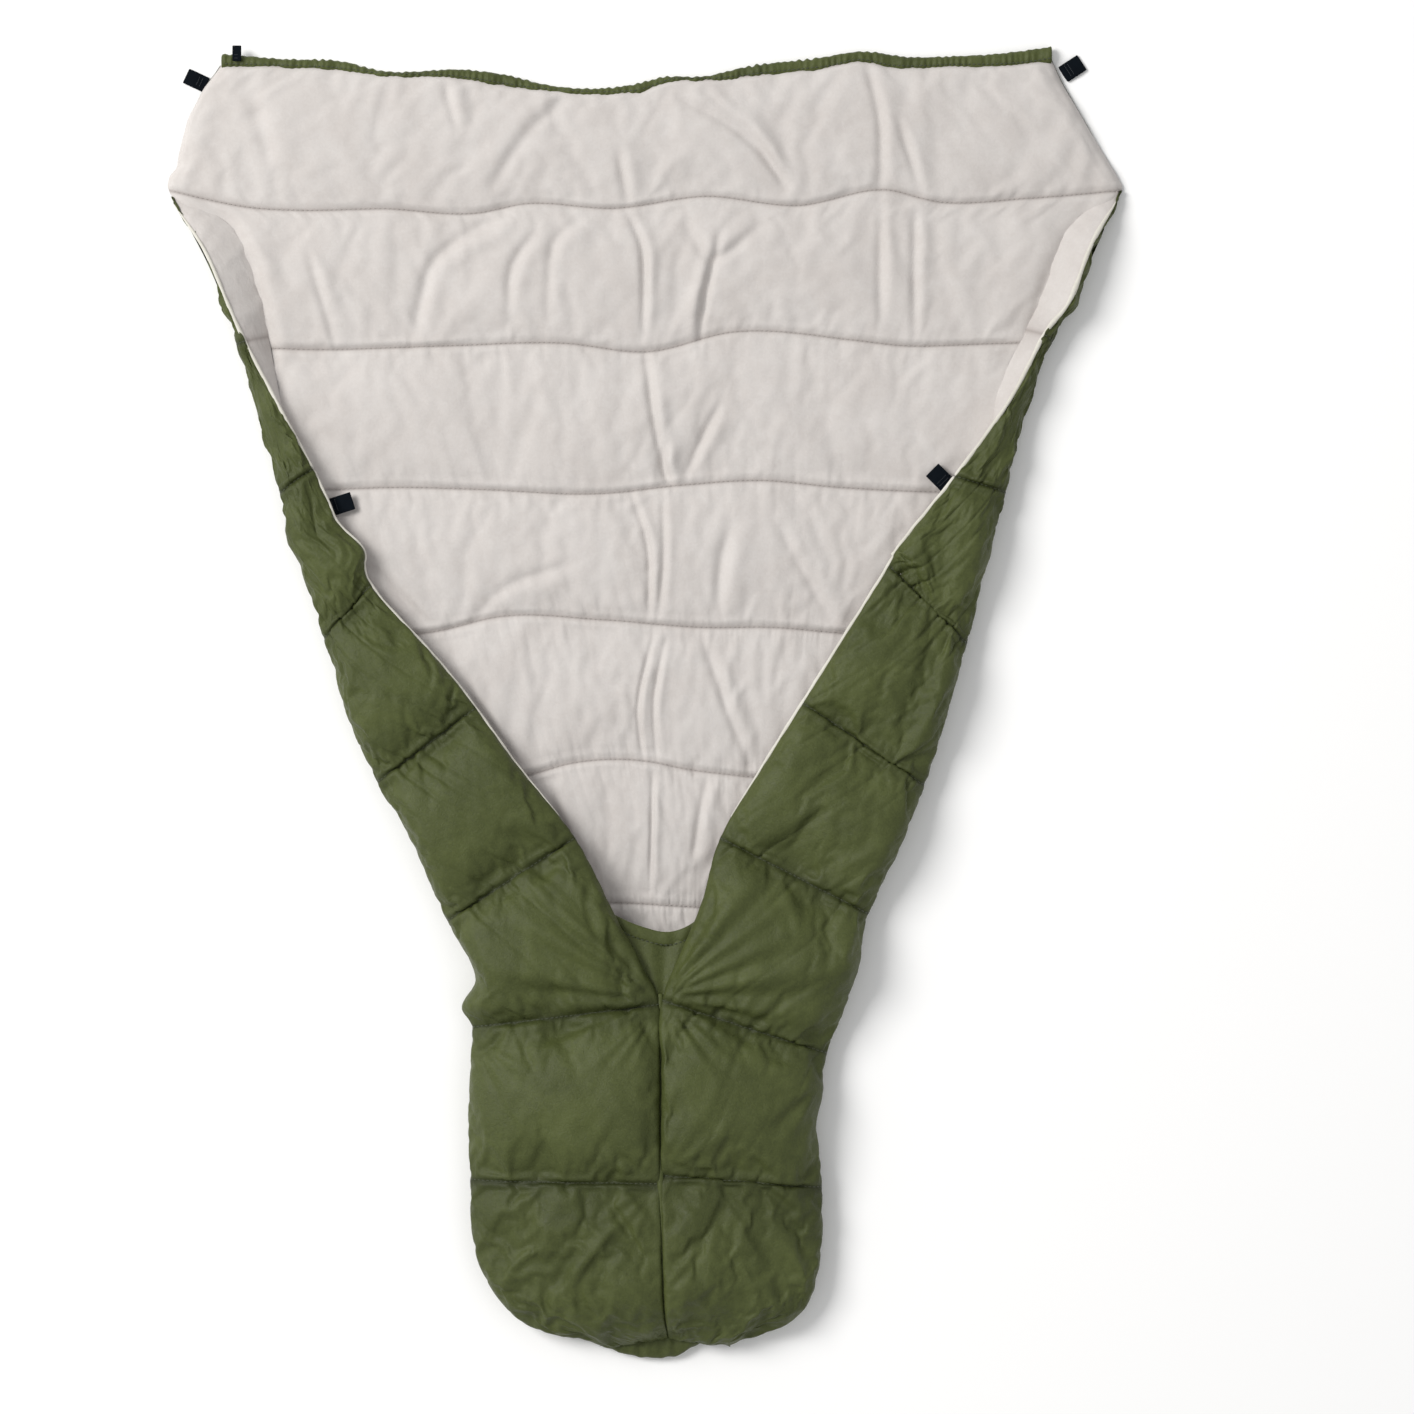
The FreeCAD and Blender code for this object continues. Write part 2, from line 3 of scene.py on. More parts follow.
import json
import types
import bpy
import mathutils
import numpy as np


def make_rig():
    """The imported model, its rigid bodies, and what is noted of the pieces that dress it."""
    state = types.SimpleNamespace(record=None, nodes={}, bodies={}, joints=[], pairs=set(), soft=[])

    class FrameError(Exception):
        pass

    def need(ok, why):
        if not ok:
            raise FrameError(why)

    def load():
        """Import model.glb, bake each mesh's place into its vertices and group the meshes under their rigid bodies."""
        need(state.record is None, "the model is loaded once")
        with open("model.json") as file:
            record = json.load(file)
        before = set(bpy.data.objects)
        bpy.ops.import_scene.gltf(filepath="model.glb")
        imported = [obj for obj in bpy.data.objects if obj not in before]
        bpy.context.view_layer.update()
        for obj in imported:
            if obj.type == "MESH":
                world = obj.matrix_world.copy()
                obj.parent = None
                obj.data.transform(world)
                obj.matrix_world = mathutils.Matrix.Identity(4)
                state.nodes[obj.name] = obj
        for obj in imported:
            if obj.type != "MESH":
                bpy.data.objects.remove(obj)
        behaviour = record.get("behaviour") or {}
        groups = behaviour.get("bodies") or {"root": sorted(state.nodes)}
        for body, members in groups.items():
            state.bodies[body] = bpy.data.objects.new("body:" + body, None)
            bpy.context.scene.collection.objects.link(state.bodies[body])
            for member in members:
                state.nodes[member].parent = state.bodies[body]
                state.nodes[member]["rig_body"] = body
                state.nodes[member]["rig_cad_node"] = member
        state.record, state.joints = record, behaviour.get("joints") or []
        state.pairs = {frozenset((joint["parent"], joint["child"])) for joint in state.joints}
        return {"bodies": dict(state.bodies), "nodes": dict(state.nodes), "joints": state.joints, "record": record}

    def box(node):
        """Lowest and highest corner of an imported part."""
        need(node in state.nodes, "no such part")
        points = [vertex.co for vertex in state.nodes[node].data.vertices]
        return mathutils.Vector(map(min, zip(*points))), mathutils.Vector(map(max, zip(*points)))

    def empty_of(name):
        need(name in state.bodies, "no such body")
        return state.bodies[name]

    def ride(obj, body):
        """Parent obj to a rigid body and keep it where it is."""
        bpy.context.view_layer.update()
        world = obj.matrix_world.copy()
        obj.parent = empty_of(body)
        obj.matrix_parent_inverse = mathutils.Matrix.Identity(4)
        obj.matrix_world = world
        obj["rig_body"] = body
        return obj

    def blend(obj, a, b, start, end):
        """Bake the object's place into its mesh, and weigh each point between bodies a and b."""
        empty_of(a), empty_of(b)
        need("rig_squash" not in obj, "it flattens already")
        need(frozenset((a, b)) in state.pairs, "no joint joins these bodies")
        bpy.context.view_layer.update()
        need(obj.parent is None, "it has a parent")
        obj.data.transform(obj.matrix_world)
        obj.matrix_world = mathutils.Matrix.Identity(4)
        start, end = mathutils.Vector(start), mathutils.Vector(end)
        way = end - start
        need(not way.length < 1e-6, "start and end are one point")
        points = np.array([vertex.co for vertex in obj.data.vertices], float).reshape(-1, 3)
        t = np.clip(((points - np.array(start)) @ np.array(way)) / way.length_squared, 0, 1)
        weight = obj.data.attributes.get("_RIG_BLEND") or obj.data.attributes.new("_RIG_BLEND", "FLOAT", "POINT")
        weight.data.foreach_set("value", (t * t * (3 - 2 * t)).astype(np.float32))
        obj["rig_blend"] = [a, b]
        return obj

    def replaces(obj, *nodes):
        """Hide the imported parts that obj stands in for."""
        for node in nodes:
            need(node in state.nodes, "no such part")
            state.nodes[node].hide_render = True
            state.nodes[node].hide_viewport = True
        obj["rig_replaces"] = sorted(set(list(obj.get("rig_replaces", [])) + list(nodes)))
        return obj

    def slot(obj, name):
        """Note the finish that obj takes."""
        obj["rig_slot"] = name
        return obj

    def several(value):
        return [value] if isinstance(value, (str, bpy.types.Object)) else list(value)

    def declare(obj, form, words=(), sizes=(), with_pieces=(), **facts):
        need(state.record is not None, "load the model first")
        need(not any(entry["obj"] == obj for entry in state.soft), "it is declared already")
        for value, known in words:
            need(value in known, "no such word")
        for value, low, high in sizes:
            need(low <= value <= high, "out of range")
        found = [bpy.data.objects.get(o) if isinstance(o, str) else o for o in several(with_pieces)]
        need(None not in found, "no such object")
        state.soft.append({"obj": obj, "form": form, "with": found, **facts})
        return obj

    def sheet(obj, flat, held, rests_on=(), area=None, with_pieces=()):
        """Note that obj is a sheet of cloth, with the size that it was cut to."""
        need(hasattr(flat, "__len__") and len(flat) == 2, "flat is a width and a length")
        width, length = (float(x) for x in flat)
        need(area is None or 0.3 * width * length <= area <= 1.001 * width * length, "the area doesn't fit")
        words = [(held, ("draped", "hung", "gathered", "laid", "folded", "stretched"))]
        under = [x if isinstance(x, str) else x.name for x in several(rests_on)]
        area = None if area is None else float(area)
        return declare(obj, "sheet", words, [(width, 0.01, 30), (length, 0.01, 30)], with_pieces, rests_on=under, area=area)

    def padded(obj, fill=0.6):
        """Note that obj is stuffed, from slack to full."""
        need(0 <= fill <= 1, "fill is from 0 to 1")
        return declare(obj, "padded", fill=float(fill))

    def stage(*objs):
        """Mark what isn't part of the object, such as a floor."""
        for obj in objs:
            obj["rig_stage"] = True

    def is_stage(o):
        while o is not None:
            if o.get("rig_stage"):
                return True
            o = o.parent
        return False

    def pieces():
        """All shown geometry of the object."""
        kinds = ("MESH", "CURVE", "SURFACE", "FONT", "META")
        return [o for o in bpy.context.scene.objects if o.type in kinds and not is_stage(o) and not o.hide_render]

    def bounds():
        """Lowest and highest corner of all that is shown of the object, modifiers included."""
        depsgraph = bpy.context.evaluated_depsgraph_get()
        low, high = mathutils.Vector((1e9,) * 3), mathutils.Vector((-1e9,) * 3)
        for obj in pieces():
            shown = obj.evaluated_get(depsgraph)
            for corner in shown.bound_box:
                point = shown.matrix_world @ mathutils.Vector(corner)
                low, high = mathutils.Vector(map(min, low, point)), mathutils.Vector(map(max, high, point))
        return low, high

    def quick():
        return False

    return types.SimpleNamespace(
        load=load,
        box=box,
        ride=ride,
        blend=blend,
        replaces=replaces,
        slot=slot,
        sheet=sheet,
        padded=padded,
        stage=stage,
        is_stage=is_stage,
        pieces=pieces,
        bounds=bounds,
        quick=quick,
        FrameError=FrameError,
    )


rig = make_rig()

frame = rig.load()

import json
import math

import bpy
import numpy as np

MM = 0.001
scene = bpy.context.scene
cad_low, cad_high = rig.bounds()

# Driving dimensions, in millimetres.
HEAD_Y = 900
FOOT_END = -931
ROLL_END = 735
ROLL_AXIS = 34.0
CHAMBER_GUESS = 203.5
LINING_CHAMBER = 203.0
COVER_CHAMBER = 190.0
# Seams are painted darker: a line SEAM_WIDTH wide, partly painted shade in the seam's groove, and painted shade
# SEAM_SHADOW wide beside it.
SEAM_WIDTH = 2.6
SEAM_SHADOW = 19.0
LINING_INSET = 33
UNDER_INSET = 1.4
WRAP = 3.0

# Grids: the gap of a cover's rows before refine(), the gaps of rows and columns after it, and counts.
ROW_GAP = 7.0
COVER_GAPS = (3.5, 2.6)
LINING_GAPS = (3.9, 3.6)
COVER_COLUMNS = 56
INNER_COLUMNS = 30
LINING_COLUMNS = 170
ROWS_PER_CHAMBER = 26

# Each station runs from the silhouette to the free edge or the centre seam: seam row, silhouette x and y,
# edge x and y, top height, edge height, distance from the silhouette to the inner crease.
LEFT = (
    (1, -688, 732, -684, 722, 18, 18, 12),
    (0, -645, 649, -634, 650, 46, 48, 64),
    (0, -609, 566, -599, 570, 52, 54, 60),
    (1, -590, 515, -576, 519, 52, 52, 46),
    (0, -566, 420, -528, 428, 62, 54, 42),
    (1, -527, 301, -478, 334, 66, 54, 34),
    (0, -523, 268, -456, 288, 68, 54, 34),
    (0, -515, 232, -441, 256, 68, 54, 34),
    (0, -500, 190, -405, 218, 68, 54, 34),
    (1, -463, 91, -394, 167, 66, 54, 34),
    (0, -430, -22, -295, 56, 69, 55, 34),
    (1, -386, -117, -243, -10, 68, 55, 34),
    (0, -344, -193, -187, -87, 71, 56, 34),
    (1, -285, -317, -100, -197, 71, 57, 34),
    (0, -246, -397, -41, -310, 80, 62, 34),
    (0, -263, -441, 0, -385, 84, 66, 34),
    (1, -249, -470, 22, -436, 86, 68, 34),
    (0, -251, -522, 23, -510, 94, 80, 34),
    (0, -255, -600, 23, -600, 98, 86, 34),
    (1, -252, -690, 23, -692, 96, 86, 34),
    (0, -247, -780, 25, -780, 96, 86, 34),
    (0, -221, -848, 27, -850, 88, 78, 32),
    (0, -166, -904, 30, -896, 62, 57, 26),
    (0, -70, -931, 33, -920, 28, 26, 12),
    (0, -66, -937, 33, -927, 9, 9, 5),
)
RIGHT = (
    (1, 693, 741, 689, 733, 18, 18, 12),
    (0, 657, 655, 646, 661, 46, 48, 56),
    (0, 626, 580, 613, 577, 52, 54, 53),
    (1, 590, 520, 577, 529, 52, 52, 42),
    (0, 557, 427, 527, 434, 62, 54, 50),
    (1, 522, 301, 448, 324, 66, 54, 34),
    (0, 493, 188, 368, 224, 68, 54, 34),
    (1, 466, 84, 352, 195, 66, 54, 34),
    (0, 443, 0, 289, 94, 69, 55, 34),
    (1, 404, -121, 228, -3, 68, 55, 34),
    (0, 366, -218, 168, -98, 71, 56, 34),
    (1, 324, -307, 109, -197, 71, 57, 34),
    (0, 304, -400, 80, -294, 80, 62, 34),
    (1, 264, -508, 25, -430, 86, 68, 34),
    (0, 257, -569, 24, -520, 94, 80, 34),
    (0, 250, -613, 24, -600, 98, 86, 34),
    (1, 256, -701, 24, -680, 96, 86, 34),
    (0, 255, -800, 26, -790, 96, 86, 34),
    (0, 234, -872, 28, -860, 86, 76, 32),
    (0, 185, -913, 31, -898, 60, 55, 26),
    (0, 128, -932, 34, -920, 28, 26, 12),
    (0, 124, -938, 34, -927, 9, 9, 5),
)
HEAD_LINE = (
    (-614, 923), (-525, 921), (-432, 916), (-389, 910), (-291, 907), (-155, 888), (-38, 883), (-5, 886),
    (31, 899), (101, 902), (181, 911), (265, 920), (317, 929), (350, 922), (444, 922), (547, 925), (590, 931),
)
HEAD_TOP = (
    (-617, 940), (-525, 932), (-436, 928), (-389, 916), (-253, 916), (-192, 907), (-155, 897), (-8, 897),
    (22, 905), (87, 907), (148, 921), (247, 933), (317, 943), (383, 935), (444, 936), (514, 940), (590, 950),
)
LINING_SEAMS = (
    ((-694, 742), (-641, 729), (-574, 716), (-508, 712), (-376, 714), (-243, 708), (-177, 721), (-44, 715),
     (89, 732), (221, 719), (354, 741), (420, 725), (553, 729), (694, 741)),
    ((-600, 514), (-479, 510), (-298, 515), (-116, 519), (5, 507), (126, 535), (308, 523), (368, 516),
     (489, 518), (600, 522)),
    ((-530, 303), (-352, 310), (-237, 307), (-64, 301), (51, 313), (167, 320), (282, 310), (397, 304),
     (525, 302)),
    ((-460, 92), (-306, 101), (-208, 123), (-61, 118), (86, 107), (184, 107), (282, 99), (466, 85)),
    ((-384, -117), (-174, -108), (-100, -89), (14, -89), (51, -97), (126, -107), (404, -121)),
    ((-285, -317), (-32, -293), (54, -298), (320, -307)),
    ((-254, -470), (0, -478), (262, -500)),
)
HEAD_CORNERS = {
    "left": ((-694, 747), (-691, 762), (-680, 775), (-677, 796), (-664, 846), (-641, 890), (-617, 921)),
    "right": ((694, 747), (687, 761), (664, 799), (634, 850), (605, 900), (591, 931), (590, 950)),
}


def hermite(xs, ys):
    """A smooth curve through the points, as a function of x."""
    xs, ys = np.asarray(xs, float), np.asarray(ys, float)
    slope = np.gradient(ys, xs, axis=0)

    def at(x):
        x = np.clip(np.asarray(x, float), xs[0], xs[-1])
        i = np.clip(np.searchsorted(xs, x, side="right") - 1, 0, len(xs) - 2)
        h = xs[i + 1] - xs[i]
        t = (x - xs[i]) / h
        if ys.ndim > 1:
            t, h = t[..., None], h[..., None]
        a, b = 2 * t**3 - 3 * t**2 + 1, t**3 - 2 * t**2 + t
        return a * ys[i] + b * h * slope[i] + (1 - a) * ys[i + 1] + (t**3 - t**2) * h * slope[i + 1]

    return at


def smoothstep(t):
    t = np.clip(t, 0, 1)
    return t * t * (3 - 2 * t)


def pillow(v, power=0.62):
    """0 at a seam and 1 between seams, for v counted in chambers."""
    return np.abs(np.sin(np.pi * v)) ** power


def smooth(lines, half):
    """A weighted running mean of each line, which reaches half points to each side."""
    kernel = np.hanning(2 * half + 1) / np.hanning(2 * half + 1).sum()
    return np.stack([np.convolve(np.pad(line, half, mode="edge"), kernel, "valid") for line in lines])


class Side:
    """One long side: the rows of its cover, from the head corner to the foot end."""

    def __init__(self, name, stations, inward):
        self.name = name
        self.sign = inward
        table = np.array(stations, float)
        knots = np.arange(len(table))
        curve = hermite(knots, table[:, 1:])
        seams = np.flatnonzero(table[:, 0])
        samples = np.linspace(0, knots[-1], 2000)
        self.outline = curve(samples)[:, :2]
        run = np.concatenate([[0], np.cumsum(np.hypot(*np.diff(self.outline, axis=0).T))])
        at_knot = np.interp(knots, samples, run)
        stops = list(seams) + [knots[-1]]
        rows, chamber = [], []
        for k, (a, b) in enumerate(zip(stops[:-1], stops[1:])):
            count = max(4, int(round((at_knot[b] - at_knot[a]) / ROW_GAP)))
            lengths = np.linspace(at_knot[a], at_knot[b], count, endpoint=False)
            rows += list(np.interp(lengths, run, samples))
            share = 0.5 if k == len(stops) - 2 else 1.0
            chamber += list(k + np.arange(count) / count * share)
        rows.append(float(knots[-1]))
        chamber.append(len(stops) - 1.5)
        rows = np.array(rows)
        self.chamber = np.array(chamber)
        self.seam_rows = [int(np.argmin(np.abs(rows - seam))) for seam in seams]
        self.data = curve(rows)
        before, after = np.maximum(rows - 0.15, 0), np.minimum(rows + 0.15, knots[-1])
        tangent = (curve(after) - curve(before))[:, :2]
        tangent = tangent / np.hypot(tangent[:, 0], tangent[:, 1])[:, None]
        normal = np.stack([-tangent[:, 1], tangent[:, 0]], 1) * inward
        normal = smooth(normal.T, 12).T
        self.normal = normal / np.hypot(*normal.T)[:, None]


left = Side("left", LEFT, 1)
right = Side("right", RIGHT, -1)


def run_along(points):
    """The length along a polyline up to each of its points."""
    return np.concatenate([[0], np.cumsum(np.linalg.norm(np.diff(points, axis=0), axis=1))])


def resample(points, count):
    """count points at even spacing along a polyline."""
    run = run_along(points)
    at = np.linspace(0, run[-1], count)
    return np.stack([np.interp(at, run, points[:, k]) for k in range(points.shape[1])], 1)


def foot_share(y):
    """0 along the flaps and 1 on the foot box."""
    return smoothstep((-380 - y) / 130)


def seam_depth(width, top, foot):
    """How far a cross seam pulls the cover down."""
    return min(6 + 10 * smoothstep((width - 20) / 60) + 3 * foot, 0.3 * top)


def edge_drop(side, i, depth, width):
    """How much of that reaches the free edge at row i."""
    return (1 - 0.72 * smoothstep((width - 20) / 60)) * depth * (1 - pillow(side.chamber[i]))


def cover_section(side, i, count):
    """The outer skin's line at row i: from under the silhouette, round the roll, over the top to the edge."""
    ox, oy, ex, ey, top, edge, _ = side.data[i]
    puff = pillow(side.chamber[i])
    start, end, normal = np.array([ox, oy]), np.array([ex, ey]), side.normal[i]
    width = np.linalg.norm(end - start)
    foot = foot_share(oy)
    depth = seam_depth(width, top, foot)
    top = top - depth * (1 - puff)
    edge = edge - edge_drop(side, i, depth, width)
    axis = min(ROLL_AXIS, 0.5 * top + 6, 0.8 * top)
    radius = min(ROLL_AXIS, max(width, 6), max(8.0, 0.62 * top))
    share = 0.72 if side.name == "left" else 0.97
    dome = radius + (share * width - radius) * foot * smoothstep((width - 60) / 80)
    low = np.radians(np.linspace(-32 - 30 * smoothstep((oy - 540) / 80), 0, 8, endpoint=False))
    high = np.radians(np.linspace(0, 90, 40))
    angle = np.concatenate([low, high])
    rise = np.where(angle < 0, axis * 0.985, top - axis)
    d = np.where(angle < 0, radius, dome) * (1 - np.cos(angle))
    z = axis + rise * np.sin(angle)
    way = (end - start) / max(width, 1)
    turn = (0.35 + 0.65 * smoothstep(d / 24))[:, None]
    plan = start + (normal * (1 - turn) + way * turn) * d[:, None]
    arc = np.column_stack([plan, z])
    run = np.linspace(0, 1, len(high))[1:]
    plan = plan[-1] + (end - plan[-1]) * run[:, None]
    left_over = np.linalg.norm(end - arc[-1, :2])
    round_over = max(4.0, min(30.0, left_over))
    r = np.clip((1 - run) * left_over / round_over, 0, 1)
    z = edge + (top - edge) * np.sqrt(1 - (1 - r) ** 2)
    hem = [np.append(end, edge - 3), np.append(end - WRAP * way, edge - 5)]
    line = np.vstack([arc, np.column_stack([plan, z])] + hem)
    return resample(line, count)


def rim_margin(y):
    """How much further out the lining runs below the rolled rims, hidden until a flap lifts."""
    return 17.0 * smoothstep((y - 120) / 80) * (1 - smoothstep((y - 660) / 40))


def lining_side(side, offset, margin=0.0):
    """The lining's side boundary, x as a function of y: the silhouette at the head, inside the roll below."""
    y = np.linspace(FOOT_END, ROLL_END, 260)
    order = np.argsort(side.outline[:, 1])
    outline_y, outline_x = side.outline[order, 1], side.outline[order, 0]
    x = np.interp(y, outline_y, outline_x) + side.sign * offset * smoothstep((ROLL_END - y) / 45)
    x = x - side.sign * margin * rim_margin(y)
    corner = np.array(HEAD_CORNERS[side.name], float)
    all_y, all_x = np.concatenate([y, corner[:, 1]]), np.concatenate([x, corner[:, 0]])
    return lambda at: np.interp(at, all_y, all_x)


def add_mesh(name, verts, faces):
    mesh = bpy.data.meshes.new(name)
    mesh.from_pydata([tuple(v) for v in np.asarray(verts, float) * MM], [], faces)
    mesh.update()
    mesh.polygons.foreach_set("use_smooth", [True] * len(mesh.polygons))
    obj = bpy.data.objects.new(name, mesh)
    scene.collection.objects.link(obj)
    return obj


def add_grid(name, points, flip):
    """A mesh on a grid of points, which has rows, columns and x, y, z."""
    rows, columns = points.shape[:2]
    first = (np.arange(rows - 1)[:, None] * columns + np.arange(columns - 1)).ravel()
    quads = np.stack([first, first + 1, first + 1 + columns, first + columns], 1)
    return add_mesh(name, points.reshape(-1, 3), (quads[:, ::-1] if flip else quads).tolist())


def read(mesh):
    co = np.zeros(len(mesh.vertices) * 3)
    mesh.vertices.foreach_get("co", co)
    return co.reshape(-1, 3)


def ruffle(obj, pinned, pressure, slack, cap, bend=0.5):
    """Cloth: pinned points stay, the rest has spare cloth and air behind it, so it puffs and wrinkles."""
    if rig.quick():
        return
    frames, stiffness = 14, 15.0
    rest = read(obj.data)
    group = obj.vertex_groups.new(name="pin")
    group.add(np.flatnonzero(pinned).tolist(), 1.0, "REPLACE")
    cloth = obj.modifiers.new("Cloth", "CLOTH")
    s = cloth.settings
    s.quality = 5
    s.mass = 0.04
    s.tension_stiffness = s.compression_stiffness = stiffness
    s.shear_stiffness = stiffness * 0.4
    s.bending_stiffness = bend
    s.tension_damping = s.compression_damping = 5
    s.bending_damping = 0.5
    s.air_damping = 2
    s.vertex_group_mass = "pin"
    s.pin_stiffness = 5
    s.use_pressure = True
    s.uniform_pressure_force = pressure
    s.shrink_min = -slack
    s.effector_weights.gravity = 0
    cloth.collision_settings.use_collision = False
    cloth.collision_settings.use_self_collision = False
    cloth.point_cache.frame_start = 1
    cloth.point_cache.frame_end = frames + 2
    for frame_number in range(1, frames + 1):
        scene.frame_set(frame_number)
    moved = read(obj.evaluated_get(bpy.context.evaluated_depsgraph_get()).to_mesh()) - rest
    far = np.linalg.norm(moved, axis=1)[:, None]
    limit = cap * MM
    moved *= np.where(far > 1e-9, limit * np.tanh(far / limit) / np.maximum(far, 1e-9), 1)
    obj.modifiers.remove(cloth)
    obj.vertex_groups.remove(group)
    scene.frame_set(1)
    obj.data.vertices.foreach_set("co", (rest + moved).ravel())
    obj.data.update()


def noise_field(shape, seed, passes):
    """Smooth noise of unit size on a grid."""
    field = np.random.default_rng(seed).normal(size=shape)
    for _ in range(passes):
        for axis in (0, 1):
            field = (np.roll(field, 1, axis) + np.roll(field, -1, axis) + 2 * field) / 4
    return field / field.std()


def refine(points, axis=None):
    """Twice as many rows and columns, on a smooth surface through the old points."""
    if axis is None:
        return refine(refine(points, 0), 1)
    p = np.moveaxis(points, axis, 0)
    ends = np.concatenate([2 * p[:1] - p[1:2], p, 2 * p[-1:] - p[-2:-1]])
    middle = (9 * (ends[1:-2] + ends[2:-1]) - ends[:-3] - ends[3:]) / 16
    out = np.empty((2 * len(p) - 1,) + p.shape[1:])
    out[::2], out[1::2] = p, middle
    return np.moveaxis(out, 0, axis)


def grid_normals(points, sign):
    down, across = np.gradient(points, axis=0), np.gradient(points, axis=1)
    normal = np.cross(down, across) * sign
    return normal / np.maximum(np.linalg.norm(normal, axis=2), 1e-9)[:, :, None]


def hills(count, length, seed, pitch):
    """A smooth random line of unit size with hills about pitch apart, sampled count times over length."""
    rng = np.random.default_rng(seed)
    x = np.linspace(0, length, count)
    waves = [(rng.uniform(0.55, 1.7), rng.uniform(0, 6.28), rng.uniform(0.5, 1)) for _ in range(9)]
    line = sum(a * np.sin(2 * np.pi * x * f / pitch + turn) for f, turn, a in waves)
    return line / line.std()


def puckers(shape, seam_rows, gaps, reach, pitch, seed, slant=0.0, sharp=0.0, thin=0.34):
    """Gathers that start at each seam and die out, as a unit displacement. Sharp ones have thin valleys."""
    rows, columns = shape
    row_gap, column_gap = gaps
    total = np.zeros(shape)
    x = np.arange(columns) * column_gap
    grid_x = np.arange(columns * 3) * column_gap
    for k, row in enumerate(seam_rows):
        for way in (-1, 1):
            away = (np.arange(rows) - row) * row_gap * way
            gathers = hills(len(grid_x), grid_x[-1], seed + 7 * k + way, pitch)
            gathers = (1 - sharp) * gathers + sharp * (0.5 - 2.0 * np.exp(-(gathers / thin) ** 2))
            waves = hills(len(grid_x), grid_x[-1], seed + 91 * k + way, pitch * 2.2)
            length = 0.45 + 0.55 * (0.5 + 0.5 * np.tanh(waves))
            for i in np.flatnonzero((away >= 0) & (away < 3.5 * reach)):
                at = x + slant * away[i] * way + columns * column_gap
                value, span = np.interp(at, grid_x, gathers), np.interp(at, grid_x, length)
                fade = np.exp(-away[i] / (reach * span)) * smoothstep(away[i] / 3.0 + 0.25)
                total[i] += value * fade
    return total


def fan(points, centre, folds, reach, seed):
    """Folds that spread from a point, as a unit displacement."""
    inner = 14.0
    x, y = points[:, :, 0] - centre[0], points[:, :, 1] - centre[1]
    turn, away = np.arctan2(y, x), np.hypot(x, y)
    rng = np.random.default_rng(seed)
    total = np.zeros(turn.shape)
    for k in range(int(folds * 0.6), int(folds * 1.5), max(1, int(folds * 0.12))):
        total += rng.uniform(0.5, 1) * np.sin(k * turn + rng.uniform(0, 6.28))
    window = smoothstep((away - inner) / 45) * (1 - smoothstep((away - 0.35 * reach) / (0.65 * reach)))
    return total / 2.0 * window


def creases(points, paths):
    """Long soft creases along paths, in millimetres: a narrow valley with a low ridge on its left."""
    x, y = points[:, :, 0], points[:, :, 1]
    total = np.zeros(x.shape)
    for depth, width, *path in paths:
        path = np.array(path, float)
        path = resample(hermite(np.arange(len(path)), path)(np.linspace(0, len(path) - 1, 40)), 16)
        low, high = path.min(axis=0) - 60, path.max(axis=0) + 60
        box = (x > low[0]) & (x < high[0]) & (y > low[1]) & (y < high[1])
        px, py = x[box], y[box]
        best, signed, along = np.full(px.shape, 1e9), np.zeros(px.shape), np.zeros(px.shape)
        for k in range(len(path) - 1):
            a, d = path[k], path[k + 1] - path[k]
            t = np.clip(((px - a[0]) * d[0] + (py - a[1]) * d[1]) / (d @ d), 0, 1)
            off_x, off_y = px - a[0] - t * d[0], py - a[1] - t * d[1]
            distance = np.hypot(off_x, off_y)
            closer = distance < best
            best = np.where(closer, distance, best)
            signed = np.where(closer, np.sign(d[0] * off_y - d[1] * off_x) * distance, signed)
            along = np.where(closer, (k + t) / (len(path) - 1), along)
        fade = np.sin(np.pi * np.clip(along, 0.02, 0.98)) ** 0.5 * (best < 58)
        width = 0.75 * width
        ridge = 0.55 * np.exp(-((signed - 2.1 * width) / (1.6 * width)) ** 2)
        total[box] += depth * fade * (ridge - np.exp(-(signed / width) ** 2))
    return total


# ---------------- back lining
LINING_CREASES = (
    (5, 13, (-225, 738), (-174, 817), (-113, 874)), (5, 9, (-38, 798), (-24, 719)),
    (4, 8, (-291, 898), (-272, 827)), (5, 16, (-572, 892), (-559, 842), (-535, 757)),
    (8, 7, (-24, 705), (-5, 663), (-1, 626), (-2, 532)), (7, 8, (1, 506), (12, 420), (30, 319)),
    (6, 12, (-207, 705), (-300, 644), (-324, 578), (-338, 513)),
    (5, 10, (-159, 678), (-192, 626), (-197, 551)),
    (4, 10, (-84, 705), (-132, 659), (-141, 559)), (4, 9, (-488, 653), (-450, 522)),
    (6, 9, (322, 921), (341, 840), (342, 742)), (5, 9, (342, 730), (341, 536)),
    (5, 8, (368, 840), (401, 735)), (5, 8, (393, 705), (391, 682), (391, 518)),
    (6, 9, (50, 874), (134, 827), (209, 747)), (5, 8, (88, 880), (160, 815), (205, 742)),
    (8, 8, (78, 513), (87, 583), (110, 677)), (5, 10, (60, 690), (100, 640), (170, 690)),
    (7, 8, (32, 378), (27, 342), (40, 307)), (6, 9, (111, 434), (83, 378), (61, 327)),
    (5, 6, (-24, 314), (5, 222), (5, 122)), (4, 6, (25, 300), (28, 210), (20, 124)),
    (7, 13, (125, 257), (112, 200), (105, 122)), (4, 9, (196, 250), (267, 122)),
    (4, 11, (-101, 200), (-200, 165), (-250, 115)), (4, 9, (-391, 193), (-313, 108)),
    (5, 5, (12, 94), (-9, -4), (-2, -89)), (4, 5, (30, 90), (14, 0), (18, -89)),
    (5, 9, (83, 94), (125, -26), (153, -89)), (4, 9, (-272, 37), (-187, -89)),
    (5, 5, (12, -104), (8, -274)), (4, 8, (90, -110), (70, -230)), (4, 10, (-150, -120), (-90, -240)),
)
